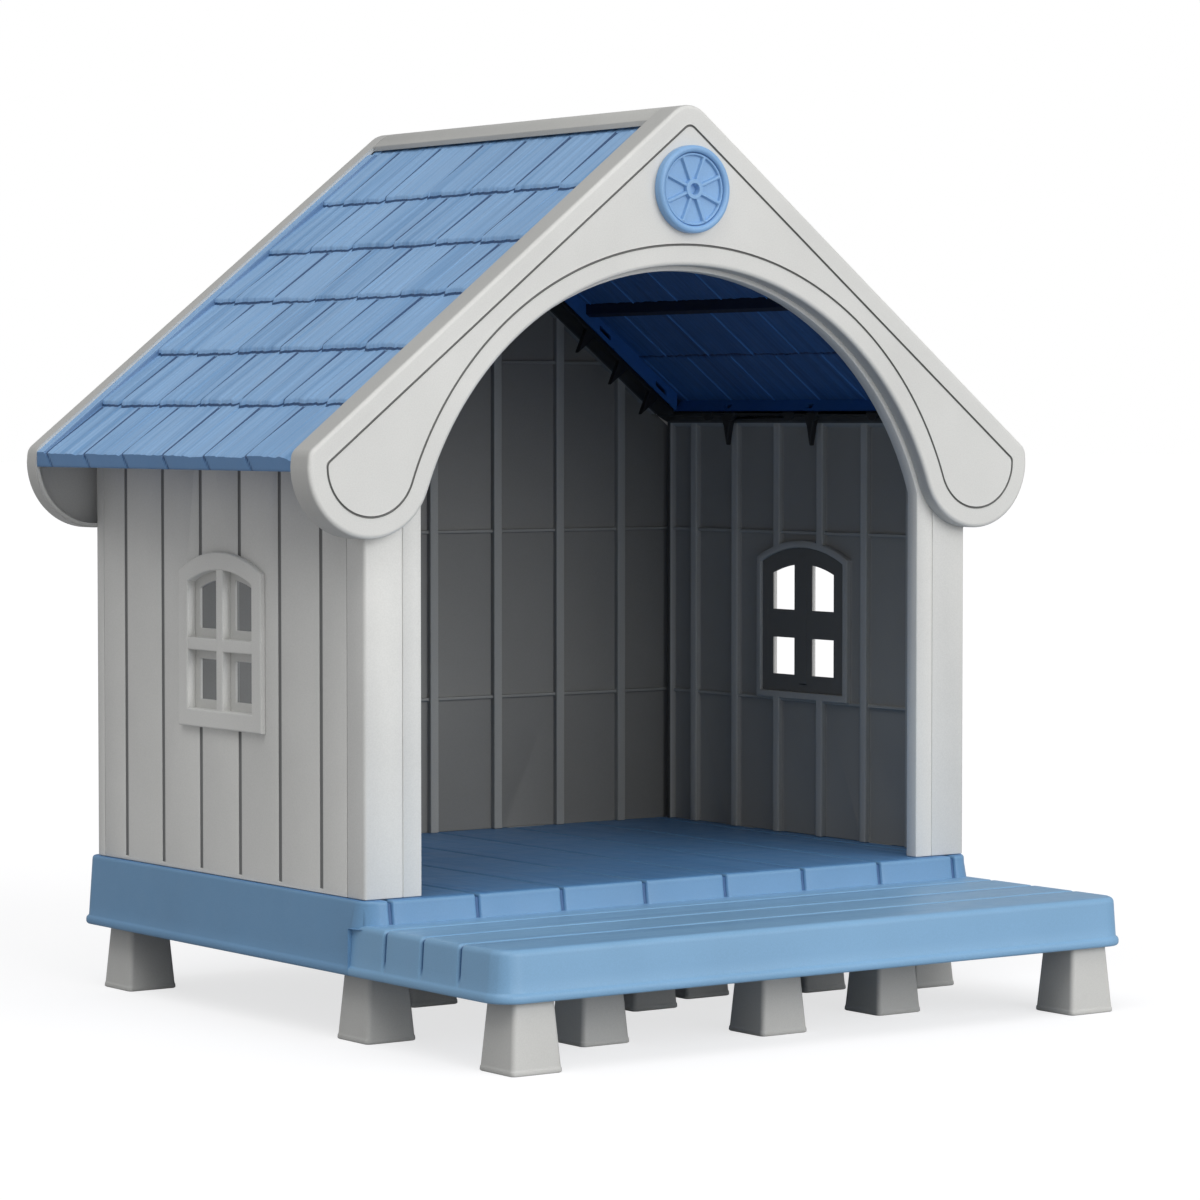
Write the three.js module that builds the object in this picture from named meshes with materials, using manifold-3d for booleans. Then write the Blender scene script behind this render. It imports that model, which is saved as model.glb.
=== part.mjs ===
// Plastic dog house with a porch: one moulded deck on push-in feet, ribbed wall panels that clip
// together on it, and a shingled gable roof that lifts off in one piece for cleaning.
//
// Millimetres, +Z up, the doorway faces -Y. X = 0 is the middle of the house, Y = 0 is the front
// face of the front posts and Z = 0 is the ground. The finished group is moved along Y at the end,
// so that its origin lies under the middle of the object.

import * as THREE from 'three';
import { mergeVertices } from 'three/addons/utils/BufferGeometryUtils.js';
import Module from 'manifold-3d';

const wasm = await Module();
wasm.setup();

// ---------------------------------------------------------------------------------------------
// Driving sizes
// ---------------------------------------------------------------------------------------------

const clearance = 0.3;             // gap between pieces that touch
const skin = 4;                    // thickness of the moulded wall, gable and frame skins

// Cabin
const cabinWidth = 650;            // over the outer faces of the side walls
const cabinDepth = 453;            // front face of the posts to the rear face of the back wall
const wallGrooveCount = 6;         // plank joints on each side wall
const wallEdgePlank = 40.45;       // width of the planks at both ends of a side wall
const backRibCount = 8;            // plank joints on the back wall
const backEdgePlank = 66;          // width of the planks at both ends of the back wall
const plankGrooveWidth = 5;
const plankGrooveDepth = 1.5;
const plankGrooveFoot = 4;         // plain strip left under the plank grooves
const ribWidth = 9;                // raised rib behind each plank joint
const ribHeight = 6;
const crossRibHeights = [250, 411, 575];   // above the ground
const crossRibWidth = 3;
const crossRibHeight = 3;
const edgeFlange = 12;             // inward flange along the upright edges of the wall panels
const tabLength = 44;              // tongues under the walls that drop into slots in the deck
const tabReach = 5;                // they reach this far below the deck's skin
const sideTabPlaces = [120, 330];
const rearTabPlace = 148;

// Ledge along the top of the walls, which carries the roof
const ledgeReach = 25;             // on the side walls and the door frame, from their outer faces
const rearLedgeReach = 42;         // on the back wall
const ledgeThickness = 4;
const ledgeChamfer = 11;           // height of the sloping underside of the ledge
const hookLength = 28;             // snap hooks that hang from the ledge
const hookWidth = 6;
const hookRoot = 15;
const sideHookLength = 32;
const sideHookRoot = 20;
const lugRadius = 8;               // half-round lugs on the ledge's edge, beside the side hooks
const lugThickness = 4;
const lugProud = 1;                // they stand out of the ledge's edge by this much
const lugPlaces = [68, 103, 192, 229, 321, 356];
const sideHookPlaces = [198, 328];     // along the side walls
const rearHookInsets = [124, 85, 48];     // across the back wall, in from the side walls

// Corner posts and door frame
const postFace = 38;               // width of a corner post on the front
const postReturn = 27;             // width of a corner post on the side
const postCornerRadius = 3;
const jambWidth = 18.5;            // of the door frame, seen beside each corner post
const revealDepth = 13.8;          // depth of the door frame
const frameArchMargin = 4;         // its arch shows inside the gable's arch by this much
const backReturn = 12.5;           // width of the back wall's return on the side

// Deck: floor, porch and skirt in one moulding
const floorHeight = 121;           // floor above the ground
const porchHeight = 100.7;         // porch above the ground
const porchReach = 207.7;          // porch edge in front of the posts
const deckMargin = 3.9;            // deck edge outside the side walls
const riserMargin = 8.9;           // step in front of the posts
const deckRearMargin = 13.4;       // deck edge behind the back wall
const deckSkin = 3.5;
const skirtBottom = 58;            // underside of the skirt above the ground
const skirtFlare = 3.5;            // the skirt spreads this much from top to bottom
const beadHeight = 8;              // rolled edge at the foot of the skirt
const beadReach = 2.5;
const frontCornerRadius = 20;
const rearCornerRadius = 12;
const floorFillet = 3;
const porchFillet = 5;
const deckGrooveWidth = 5;
const deckGrooveDepth = 1.8;
const porchPlanks = 4;
const porchEdgePlank = 58.2;       // width of the plank along the porch edge
const porchRearPlank = 30.2;       // width of the plank along the step
const floorPlankGrooves = 8;
const floorEdgePlank = 23.7;       // width of the floor planks along the side edges
const deckRibThickness = 3;
const deckRibBottom = 105;         // lower edge of the stiffening ribs under the deck
const deckRibsAlong = [-223, -72, 72, 223];   // ribs that run front to back, from the middle
const deckRibsAcross = [-40, 128, 260, 350];  // ribs that run side to side, behind the posts
const porchTuck = 60;              // the porch block runs back under the floor by this much
const porchDraft = 0.4;            // its sides stand this much inside those of the floor

// Feet
const footHeight = 78;             // ground to the seat under the deck
const footBase = 50;               // square, at the ground
const footTop = 38;                // square, at the seat
const footSkin = 3;
const footCornerRadius = 3;
const seatCollar = 42;             // square collar that the foot pushes up against
const plugReach = 16;              // plug under the collar that the foot grips
const plugBore = 18;
const footEdgeInset = 33.5;        // outer feet, in from the side edges of the deck
const footPorchInset = 23.2;       // porch corner feet, in from the porch edge
const footRearInset = 36.6;        // rear feet, in from the rear edge of the deck
const footFrontRow = 28.9;         // front corner feet, behind the front of the posts
const innerFeet = [
  ['foot_porch_middle', 0, -125.7],
  ['foot_porch_inner_left', -158, -86.7], ['foot_porch_inner_right', 158, -86.7],
  ['foot_front_middle', 0, 58], ['foot_front_inner', 86, 95], ['foot_front_outer', 197, 65],
  ['foot_middle_left', -144, 192], ['foot_middle_right', 144, 192],
];

// Windows in the side walls
const windowWidth = 141;           // over the raised frame
const windowBottom = 250;          // lower edge of the frame above the ground
const windowStraight = 137;        // height of its straight sides, up to the arched head
const windowRise = 17.5;           // of the arched head
const windowCentre = 228;          // along the wall
const windowBorder = 16;           // width of the raised frame
const windowProud = 4.8;           // the frame stands out of the wall by this much
const windowSash = 9;              // depth of the pane plate behind the frame's face
const sashThickness = 3;
const windowBar = 11;              // width of the cross bars
const windowBarRise = 73;          // the level bar's middle above the lower edge of the frame
const windowBarStep = 0.6;         // the bars' faces lie this far behind the frame's face
const paneBorder = 8;              // rim of the pane plate round each opening
const windowRing = 7;              // width of the raised ring round the opening inside the wall

// Roof lines and gable boards
const roofPitch = THREE.MathUtils.degToRad(38.3);
const roofApex = 798;              // height where the two outer roof lines meet
const apexRadius = 26;
const gableFrontStandoff = 14.9;   // face of the front gable board in front of the posts
const gableRearStandoff = 19.5;    // face of the rear gable board behind the back wall
const gableRim = 28.3;             // depth of the rim round the front gable board
const rearGableRim = 19.2;         // and round the rear one, which ends behind the back wall
const lobeRadius = 60.5;
const lobeReach = 2;               // centre of the round lobe outside the side wall
const lobeDrop = 58.3;             // and below the roof line
const lobeTipRadius = 12;
const crownDrop = 145.7;           // crown of the arch below the apex of the roof lines
const inlayInset = 17;             // inlaid line inside the outline and outside the arch
const inlayWidth = 2;
const inlayDepth = 1.2;

// Round ornament on the front gable
const rosetteRadius = 38;
const rosetteDrop = 80;            // centre below the apex of the roof lines
const rosettePlate = 3;
const rosetteRelief = 5;
const rosetteRimWidth = 6;
const rosetteSpokes = 8;
const rosetteSpokeWidth = 5;
const rosetteHubRadius = 9.5;
const rosetteBoreRadius = 4.5;
const rosettePegRadius = 8;
const rosettePegReach = 6;         // the peg runs this far behind the board's skin

// Roof panels and ridge cap
const capThickness = 4;
const capReach = 25;               // lower edge of the ridge cap from the middle
const shingleStep = 3.5;           // each course stands this far above the next
const underStep = 1.5;             // step of the panel's underside at each course
const panelSkin = 3;
const ridgeGap = 6;                // half the gap between the panels under the ridge cap
const eaveOverhang = 61;           // outer edge of the roof outside the side walls
const eaveDepth = 11;
const eaveTaper = 4;               // the eave strip is this much thicker at its root
const courses = 6;
const firstCourse = 29.5;          // upper edge of the first course from the middle
const shingleWidth = 70;
const seamLead = 4.5;              // the joints lie this far behind even steps from the front edge
const seamWidth = 1.6;
const seamDepth = 1.4;
const roofFlange = 14;             // flange that stands on the wall ledges
const roofFlangeThickness = 3.5;
const purlinCourse = 3;            // the stiffening rib lies above the foot of this course
const purlinRise = 11;             // by this much, measured level
const purlinDepth = 8;
const purlinWidth = 4;
const flangeSlotInsets = [109, 41];    // slots in the rear flange, in from the side walls
const flangeSlotLength = 17;
const flangeSlotWidth = 4.5;

// ---------------------------------------------------------------------------------------------
// Derived places
// ---------------------------------------------------------------------------------------------

const wallX = cabinWidth / 2;
const deckX = wallX + deckMargin;
const deckRearY = cabinDepth + deckRearMargin;
const wallPlanksEnd = cabinDepth - backReturn - clearance;
const wallPlanksStart = postReturn + clearance;
const wallGroovePitch = (wallPlanksEnd - wallPlanksStart - 2 * wallEdgePlank) / (wallGrooveCount - 1);
const backRibPitch = (cabinWidth - 2 * backEdgePlank) / (backRibCount - 1);
const floorPlankPitch = (2 * deckX - 2 * floorEdgePlank) / (floorPlankGrooves - 1);
const porchPlankPitch = (porchReach - riserMargin - porchEdgePlank - porchRearPlank) / (porchPlanks - 2);
const windowSpring = windowBottom + windowStraight;
const windowBarHeight = windowBottom + windowBarRise;
const wallFoot = floorHeight + clearance;
const footSeat = footHeight + clearance;
const plugSize = footTop - 2 * footSkin - 2 * clearance;
const footX = deckX - footEdgeInset;
const footPorchY = -porchReach + footPorchInset;
const footRearY = deckRearY - footRearInset;
const feet = [
  ['foot_porch_left', -footX, footPorchY], ['foot_porch_right', footX, footPorchY],
  ['foot_front_left', -footX, footFrontRow], ['foot_front_right', footX, footFrontRow],
  ['foot_rear_left', -footX, footRearY], ['foot_rear_right', footX, footRearY],
  ...innerFeet,
];
const slope = Math.tan(roofPitch);
const vertical = (offset) => offset / Math.cos(roofPitch);
const roofLine = (x, offset) => roofApex - vertical(offset) - slope * Math.abs(x);
const shingleTop = capThickness + clearance;
const shingleLow = shingleTop + shingleStep;
const panelUnder = shingleLow + panelSkin;
const eaveReach = wallX + eaveOverhang;
const doorHalfWidth = wallX - postFace - jambWidth;
const lobeX = wallX + lobeReach;
const lobeHeight = roofLine(lobeX, 0) - lobeDrop;
// The arch passes through its crown and runs into the two lobes without a corner.
const crownHeight = roofApex - crownDrop;
const crownAboveLobe = crownHeight - lobeHeight;
const archRadius = (lobeX ** 2 + crownAboveLobe ** 2 - lobeRadius ** 2)
  / (2 * (lobeRadius + crownAboveLobe));
const archCentreHeight = crownHeight - archRadius;
const rosetteHeight = roofApex - rosetteDrop;
const ledgeTop = panelUnder + roofFlange + clearance;
const sideLedgeHeight = roofLine(wallX, panelUnder + clearance);
const gableFrontFace = -gableFrontStandoff;
const gableRearFace = cabinDepth + gableRearStandoff;
const panelFrontY = gableFrontFace + gableRim + clearance;
const panelRearY = gableRearFace - rearGableRim - clearance;
const porchFrontLip = -porchReach - skirtFlare - beadReach;
const far = 2 * (cabinWidth + roofApex);

// ---------------------------------------------------------------------------------------------
// Materials
// ---------------------------------------------------------------------------------------------

function plastic(color, roughness) {
  return new THREE.MeshStandardMaterial({ color, roughness, metalness: 0, flatShading: true });
}

const finish = {
  wall: () => plastic(0xd6d6d2, 0.55),
  trim: () => plastic(0xd9d9d6, 0.5),
  deck: () => plastic(0x6f9ccb, 0.5),
  roof: () => plastic(0x74a2d2, 0.6),
  foot: () => plastic(0xb9b9b5, 0.6),
};

// ---------------------------------------------------------------------------------------------
// Solid helpers
// ---------------------------------------------------------------------------------------------

// Closed geometry to a solid that can be joined and cut.
function solid(geometry) {
  const bare = geometry.clone();
  bare.deleteAttribute('normal');
  bare.deleteAttribute('uv');
  const merged = mergeVertices(bare, 1e-4);
  return new wasm.Manifold(new wasm.Mesh({
    numProp: 3,
    vertProperties: new Float32Array(merged.attributes.position.array),
    triVerts: new Uint32Array(merged.index.array),
  }));
}

function geometryOf(body) {
  const mesh = body.getMesh();
  const geometry = new THREE.BufferGeometry();
  geometry.setAttribute('position', new THREE.BufferAttribute(new Float32Array(mesh.vertProperties), 3));
  geometry.setIndex(new THREE.BufferAttribute(new Uint32Array(mesh.triVerts), 1));
  geometry.computeVertexNormals();
  return geometry;
}

function block(x0, x1, y0, y1, z0, z1) {
  const geometry = new THREE.BoxGeometry(Math.abs(x1 - x0), y1 - y0, z1 - z0);
  geometry.translate((x0 + x1) / 2, (y0 + y1) / 2, (z0 + z1) / 2);
  return solid(geometry);
}

function squareBlock(x, y, size, z0, z1) {
  return block(x - size / 2, x + size / 2, y - size / 2, y + size / 2, z0, z1);
}

function shapeOf(points) {
  return new THREE.Shape(points.map(([a, b]) => new THREE.Vector2(a, b)));
}

// A flat outline carried along one axis: the outline is [x, z] along Y, [y, z] along X and
// [x, y] along Z.
function prism(points, axis, from, to) {
  const geometry = new THREE.ExtrudeGeometry(shapeOf(points), { depth: to - from, bevelEnabled: false });
  const unit = {
    X: new THREE.Vector3(1, 0, 0), Y: new THREE.Vector3(0, 1, 0), Z: new THREE.Vector3(0, 0, 1),
  };
  if (axis === 'Y') {
    geometry.rotateX(Math.PI / 2);
    geometry.translate(0, to, 0);
  } else if (axis === 'X') {
    geometry.applyMatrix4(new THREE.Matrix4().makeBasis(unit.Y, unit.Z, unit.X));
    geometry.translate(from, 0, 0);
  } else {
    geometry.translate(0, 0, from);
  }
  return solid(geometry);
}

function joinAll(bodies) {
  return wasm.Manifold.union(bodies);
}

function mirrorX(points) {
  return points.map(([x, z]) => [-x, z]).reverse();
}

// Points along an arc, angles in degrees.
function arc(cx, cy, radius, from, to, steps) {
  const points = [];
  for (let i = 0; i <= steps; i += 1) {
    const angle = THREE.MathUtils.degToRad(from + ((to - from) * i) / steps);
    points.push([cx + radius * Math.cos(angle), cy + radius * Math.sin(angle)]);
  }
  return points;
}

// The corner at b between a and c, rounded with a radius.
function roundCorner(a, b, c, radius, steps) {
  const toA = new THREE.Vector2(a[0] - b[0], a[1] - b[1]).normalize();
  const toC = new THREE.Vector2(c[0] - b[0], c[1] - b[1]).normalize();
  const half = Math.acos(THREE.MathUtils.clamp(toA.dot(toC), -1, 1)) / 2;
  const reach = radius / Math.tan(half);
  const bisector = toA.clone().add(toC).normalize().multiplyScalar(radius / Math.sin(half));
  const centre = new THREE.Vector2(b[0], b[1]).add(bisector);
  const start = new THREE.Vector2(b[0], b[1]).addScaledVector(toA, reach).sub(centre);
  const end = new THREE.Vector2(b[0], b[1]).addScaledVector(toC, reach).sub(centre);
  let turn = end.angle() - start.angle();
  if (turn > Math.PI) turn -= 2 * Math.PI;
  if (turn < -Math.PI) turn += 2 * Math.PI;
  const points = [];
  for (let i = 0; i <= steps; i += 1) {
    const angle = start.angle() + (turn * i) / steps;
    points.push([centre.x + radius * Math.cos(angle), centre.y + radius * Math.sin(angle)]);
  }
  return points;
}

// Rectangle with rounded corners, counter-clockwise from the front left; every ring has the same
// number of points, so rings can be joined one above the other.
function roundedRing(x0, x1, y0, y1, frontRadius, rearRadius, steps) {
  return [
    ...arc(x0 + frontRadius, y0 + frontRadius, frontRadius, 180, 270, steps),
    ...arc(x1 - frontRadius, y0 + frontRadius, frontRadius, 270, 360, steps),
    ...arc(x1 - rearRadius, y1 - rearRadius, rearRadius, 0, 90, steps),
    ...arc(x0 + rearRadius, y1 - rearRadius, rearRadius, 90, 180, steps),
  ];
}

// Convex rings stacked upwards, joined by a skin and closed at both ends.
function loft(rings) {
  const count = rings[0].points.length;
  const positions = [];
  const index = [];
  for (const ring of rings) {
    for (const [x, y] of ring.points) positions.push(x, y, ring.z);
  }
  for (let level = 0; level + 1 < rings.length; level += 1) {
    for (let i = 0; i < count; i += 1) {
      const a = level * count + i;
      const b = level * count + ((i + 1) % count);
      index.push(a, b, b + count, a, b + count, a + count);
    }
  }
  const last = (rings.length - 1) * count;
  for (let i = 1; i + 1 < count; i += 1) {
    index.push(0, i + 1, i);
    index.push(last, last + i, last + i + 1);
  }
  const geometry = new THREE.BufferGeometry();
  geometry.setAttribute('position', new THREE.Float32BufferAttribute(positions, 3));
  geometry.setIndex(index);
  return solid(geometry);
}

// ---------------------------------------------------------------------------------------------
// Deck
// ---------------------------------------------------------------------------------------------

// How far the skirt stands outside the deck's top edge at a height.
function flareAt(z) {
  const top = floorHeight - floorFillet;
  const bottom = skirtBottom + beadHeight;
  return skirtFlare * THREE.MathUtils.clamp((top - z) / (top - bottom), 0, 1);
}

function deckLevel(plan, z, outset) {
  const frontRadius = Math.max(frontCornerRadius + outset, 1);
  const rearRadius = Math.max(rearCornerRadius + outset, 1);
  const points = roundedRing(
    -plan.x - outset, plan.x + outset, plan.front - outset, plan.rear + outset,
    frontRadius, rearRadius, 6);
  return { z, points };
}

// The outside of the floor block or of the porch block, from the rolled edge to the rounded top.
function deckOutside(plan) {
  const level = (z, extra) => deckLevel(plan, z, flareAt(z) + extra);
  const beadTop = skirtBottom + beadHeight;
  const rings = [
    level(skirtBottom, beadReach - 1),
    level(skirtBottom + 1.2, beadReach),
    level(beadTop - 3, beadReach),
    level(beadTop, 0),
  ];
  for (let i = 0; i <= 3; i += 1) {
    const angle = (i / 3) * (Math.PI / 2);
    const drop = plan.fillet * (1 - Math.sin(angle));
    rings.push(level(plan.top - drop, plan.fillet * (Math.cos(angle) - 1)));
  }
  return loft(rings);
}

// The same block drawn in by a distance on every side and at the top, open below.
function deckInside(plan, inset) {
  const drawnIn = { ...plan, x: plan.x - inset, front: plan.front + inset, rear: plan.rear - inset };
  const heights = [skirtBottom - 2, skirtBottom + beadHeight, plan.top - inset];
  return loft(heights.map((z) => deckLevel(drawnIn, z, flareAt(z))));
}

function makeDeck() {
  const riserY = -riserMargin;
  const floor = {
    x: deckX, front: riserY, rear: deckRearY, top: floorHeight, fillet: floorFillet,
  };
  const porch = {
    x: deckX - porchDraft, front: -porchReach, rear: riserY + porchTuck, top: porchHeight,
    fillet: porchFillet,
  };
  const outer = deckOutside(floor).add(deckOutside(porch));
  const hollow = deckInside(floor, deckSkin).add(deckInside(porch, deckSkin));
  const rooted = deckInside(floor, deckSkin - 1).add(deckInside(porch, deckSkin - 1));

  // Joints between the porch planks run over the top and down both sides of the skirt, and the
  // joints between the floor planks run back from the front of the step.
  const porchCore = deckInside({ ...porch, front: -far, rear: far }, deckGrooveDepth);
  const grooveFoot = skirtBottom + beadHeight;
  const half = deckGrooveWidth / 2;
  const porchSlots = [];
  for (let i = 1; i < porchPlanks; i += 1) {
    const y = -porchReach + porchEdgePlank + (i - 1) * porchPlankPitch;
    porchSlots.push(block(-far, far, y - half, y + half, grooveFoot, far));
  }
  const floorCore = block(
    -far, far, riserY + deckGrooveDepth, far, -far, floorHeight - deckGrooveDepth);
  const floorSlots = [];
  for (let i = 0; i < floorPlankGrooves; i += 1) {
    const x = (i - (floorPlankGrooves - 1) / 2) * floorPlankPitch;
    floorSlots.push(block(
      x - half, x + half, riserY - porchTuck / 2, cabinDepth - skin - edgeFlange,
      porchHeight + deckGrooveDepth, far));
  }
  const grooves = joinAll([
    joinAll(porchSlots).subtract(porchCore),
    joinAll(floorSlots).subtract(floorCore),
  ]);

  // Seats for the feet, and stiffening ribs that run between the seats.
  const seats = [];
  const bores = [];
  for (const [, x, y] of feet) {
    seats.push(squareBlock(x, y, seatCollar, footSeat, floorHeight - 1));
    seats.push(squareBlock(x, y, plugSize, footSeat - plugReach, footSeat + 1));
    bores.push(squareBlock(x, y, plugBore, footSeat - plugReach - 1, porchHeight - deckSkin));
  }
  const ribs = [];
  const halfRib = deckRibThickness / 2;
  for (const x of deckRibsAlong) {
    ribs.push(block(x - halfRib, x + halfRib, -far, far, deckRibBottom, floorHeight - 1));
  }
  for (const y of deckRibsAcross) {
    ribs.push(block(-far, far, y - halfRib, y + halfRib, deckRibBottom, floorHeight - 1));
  }
  const under = joinAll([...seats, ...ribs]).intersect(rooted);
  return outer.subtract(hollow).add(under).subtract(joinAll(bores)).subtract(grooves)
    .subtract(joinAll(wallTabs(clearance)));
}

// ---------------------------------------------------------------------------------------------
// Feet
// ---------------------------------------------------------------------------------------------

function makeFoot(x, y) {
  const ring = (z, inset) => {
    const size = footBase + ((footTop - footBase) * z) / footHeight - 2 * inset;
    const radius = footCornerRadius;
    return {
      z,
      points: roundedRing(x - size / 2, x + size / 2, y - size / 2, y + size / 2, radius, radius, 3),
    };
  };
  const outside = loft([ring(0, 0.8), ring(1.2, 0), ring(footHeight, 0)]);
  const inside = loft([ring(footSkin, footSkin), ring(footHeight, footSkin)]);
  const mouth = squareBlock(x, y, plugSize + 2 * clearance, footHeight - plugReach - 2, footHeight + 1);
  return outside.subtract(inside).subtract(mouth);
}

// ---------------------------------------------------------------------------------------------
// Walls
// ---------------------------------------------------------------------------------------------

// Everything below the roof line drawn in by an offset, for trimming the tops of the walls.
function underRoof(offset, y0, y1) {
  const eave = roofLine(far, offset);
  const points = [[-far, eave - far], [far, eave - far], [far, eave], [0, roofLine(0, offset)], [-far, eave]];
  return prism(points, 'Y', y0, y1);
}

// Tongues under the walls that drop into slots in the deck; with a gap, the slots themselves.
function wallTabs(gap) {
  const tabs = [];
  const half = tabLength / 2;
  const top = floorHeight + 1;
  const bottom = floorHeight - deckSkin - tabReach;
  const tab = (x0, x1, y0, y1) => {
    tabs.push(block(x0 - gap, x1 + gap, y0 - gap, y1 + gap, bottom - gap, top));
  };
  for (const side of [-1, 1]) {
    for (const y of sideTabPlaces) {
      const inner = side * (wallX - skin - 1);
      const outer = side * (wallX - 1);
      tab(Math.min(inner, outer), Math.max(inner, outer), y - half, y + half);
    }
    const x = side * rearTabPlace;
    tab(x - half, x + half, cabinDepth - skin - 1, cabinDepth - 1);
  }
  return tabs;
}

function ownTabs(region) {
  return joinAll(wallTabs(0)).intersect(region);
}

// Raised rib grid on the inside of a wall, laid out along the wall.
function gridPlaces(count, pitch, centre) {
  return Array.from({ length: count }, (_, i) => centre + (i - (count - 1) / 2) * pitch);
}

// Outline of the arched window, drawn in from the outside of its raised frame.
function windowOutline(inset) {
  const half = windowWidth / 2;
  const radius = (half * half + windowRise * windowRise) / (2 * windowRise);
  const centreZ = windowSpring + windowRise - radius;
  const halfIn = half - inset;
  const start = THREE.MathUtils.radToDeg(Math.acos(halfIn / (radius - inset)));
  return [
    [windowCentre - halfIn, windowBottom + inset],
    [windowCentre + halfIn, windowBottom + inset],
    ...arc(windowCentre, centreZ, radius - inset, start, 180 - start, 10),
  ];
}

function makeSideWall(side) {
  const y0 = wallPlanksStart;
  const y1 = wallPlanksEnd;
  const outer = wallX;
  const inner = wallX - skin;
  const at = (x0, x1, ya, yb, z0, z1) => block(
    Math.min(side * x0, side * x1), Math.max(side * x0, side * x1), ya, yb, z0, z1);
  const across = (points, from, to) => prism(
    side > 0 ? points : mirrorX(points), 'Y', from, to);
  const through = (points, x0, x1) => prism(
    points, 'X', Math.min(side * x0, side * x1), Math.max(side * x0, side * x1));

  const top = sideLedgeHeight;
  const inLedge = top - 2;
  const bodies = [at(inner, outer, y0, y1, wallFoot, inLedge)];
  bodies.push(at(outer - edgeFlange, outer, y0, y0 + skin, wallFoot, inLedge));
  bodies.push(at(outer - edgeFlange, outer, y1 - skin, y1, wallFoot, inLedge));
  const places = gridPlaces(wallGrooveCount, wallGroovePitch, (y0 + y1) / 2);
  for (const y of places) {
    bodies.push(at(inner - ribHeight, outer - 1, y - ribWidth / 2, y + ribWidth / 2, wallFoot, inLedge));
  }
  for (const z of crossRibHeights) {
    if (z < top - ledgeChamfer) {
      const half = crossRibWidth / 2;
      bodies.push(at(inner - crossRibHeight, outer - 1, y0, y1, z - half, z + half));
    }
  }
  bodies.push(across([
    [outer, top - ledgeThickness - ledgeChamfer], [outer, top], [outer - ledgeReach, top],
    [outer - ledgeReach, top - ledgeThickness], [inner, top - ledgeThickness - ledgeChamfer],
  ], y0, y1));
  const lip = outer - ledgeReach;
  for (const y of sideHookPlaces) {
    const half = sideHookRoot / 2;
    bodies.push(through([
      [y - half, top - 1], [y - 0.42 * half, top - 1 - 0.42 * sideHookLength], [y, top - 1 - sideHookLength],
      [y + 0.42 * half, top - 1 - 0.42 * sideHookLength], [y + half, top - 1],
    ], lip + 1, lip + 1 + hookWidth));
  }
  for (const y of lugPlaces) {
    bodies.push(through(arc(y, top - 1, lugRadius, 180, 360, 12), lip - lugProud, lip - lugProud + lugThickness));
  }
  const seat = windowBorder / 2;
  bodies.push(through(windowOutline(seat - windowRing), inner - ribHeight, outer - 1));
  let wall = joinAll(bodies);

  for (const y of places) {
    wall = wall.subtract(at(
      outer - plankGrooveDepth, outer + 1, y - plankGrooveWidth / 2, y + plankGrooveWidth / 2,
      wallFoot + plankGrooveFoot, top + 1));
  }
  wall = wall.subtract(through(windowOutline(seat - clearance), outer - far, outer + 1));
  wall = wall.add(ownTabs(at(0, outer, y0, y1, 0, far)));
  return wall;
}

// The window is a raised frame with cross bars, and a plate with four openings set back in it.
function makeWindow(side) {
  const face = wallX + windowProud;
  const plateFace = face - windowSash;
  const through = (points, x0, x1) => prism(
    points, 'X', Math.min(side * x0, side * x1), Math.max(side * x0, side * x1));
  const seat = windowBorder / 2;
  const frame = through(windowOutline(0), wallX + clearance, face)
    .add(through(windowOutline(seat), plateFace - sashThickness, face))
    .subtract(through(windowOutline(windowBorder), plateFace, face + 1));
  // Upright and level strips of a given half width, as long as the window and more.
  const cross = (half, x0, x1) => joinAll([
    through([
      [windowCentre - half, 0], [windowCentre + half, 0], [windowCentre + half, far],
      [windowCentre - half, far],
    ], x0, x1),
    through([
      [-far, windowBarHeight - half], [far, windowBarHeight - half], [far, windowBarHeight + half],
      [-far, windowBarHeight + half],
    ], x0, x1),
  ]);
  const barFace = face - windowBarStep;
  const inside = through(windowOutline(windowBorder - 1), plateFace - sashThickness, barFace);
  const bars = cross(windowBar / 2, plateFace - sashThickness, face).intersect(inside);
  const panes = through(windowOutline(windowBorder + paneBorder), wallX - far, wallX + far)
    .subtract(cross(windowBar / 2 + paneBorder, wallX - 2 * far, wallX + 2 * far));
  return frame.add(bars).subtract(panes);
}

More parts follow.
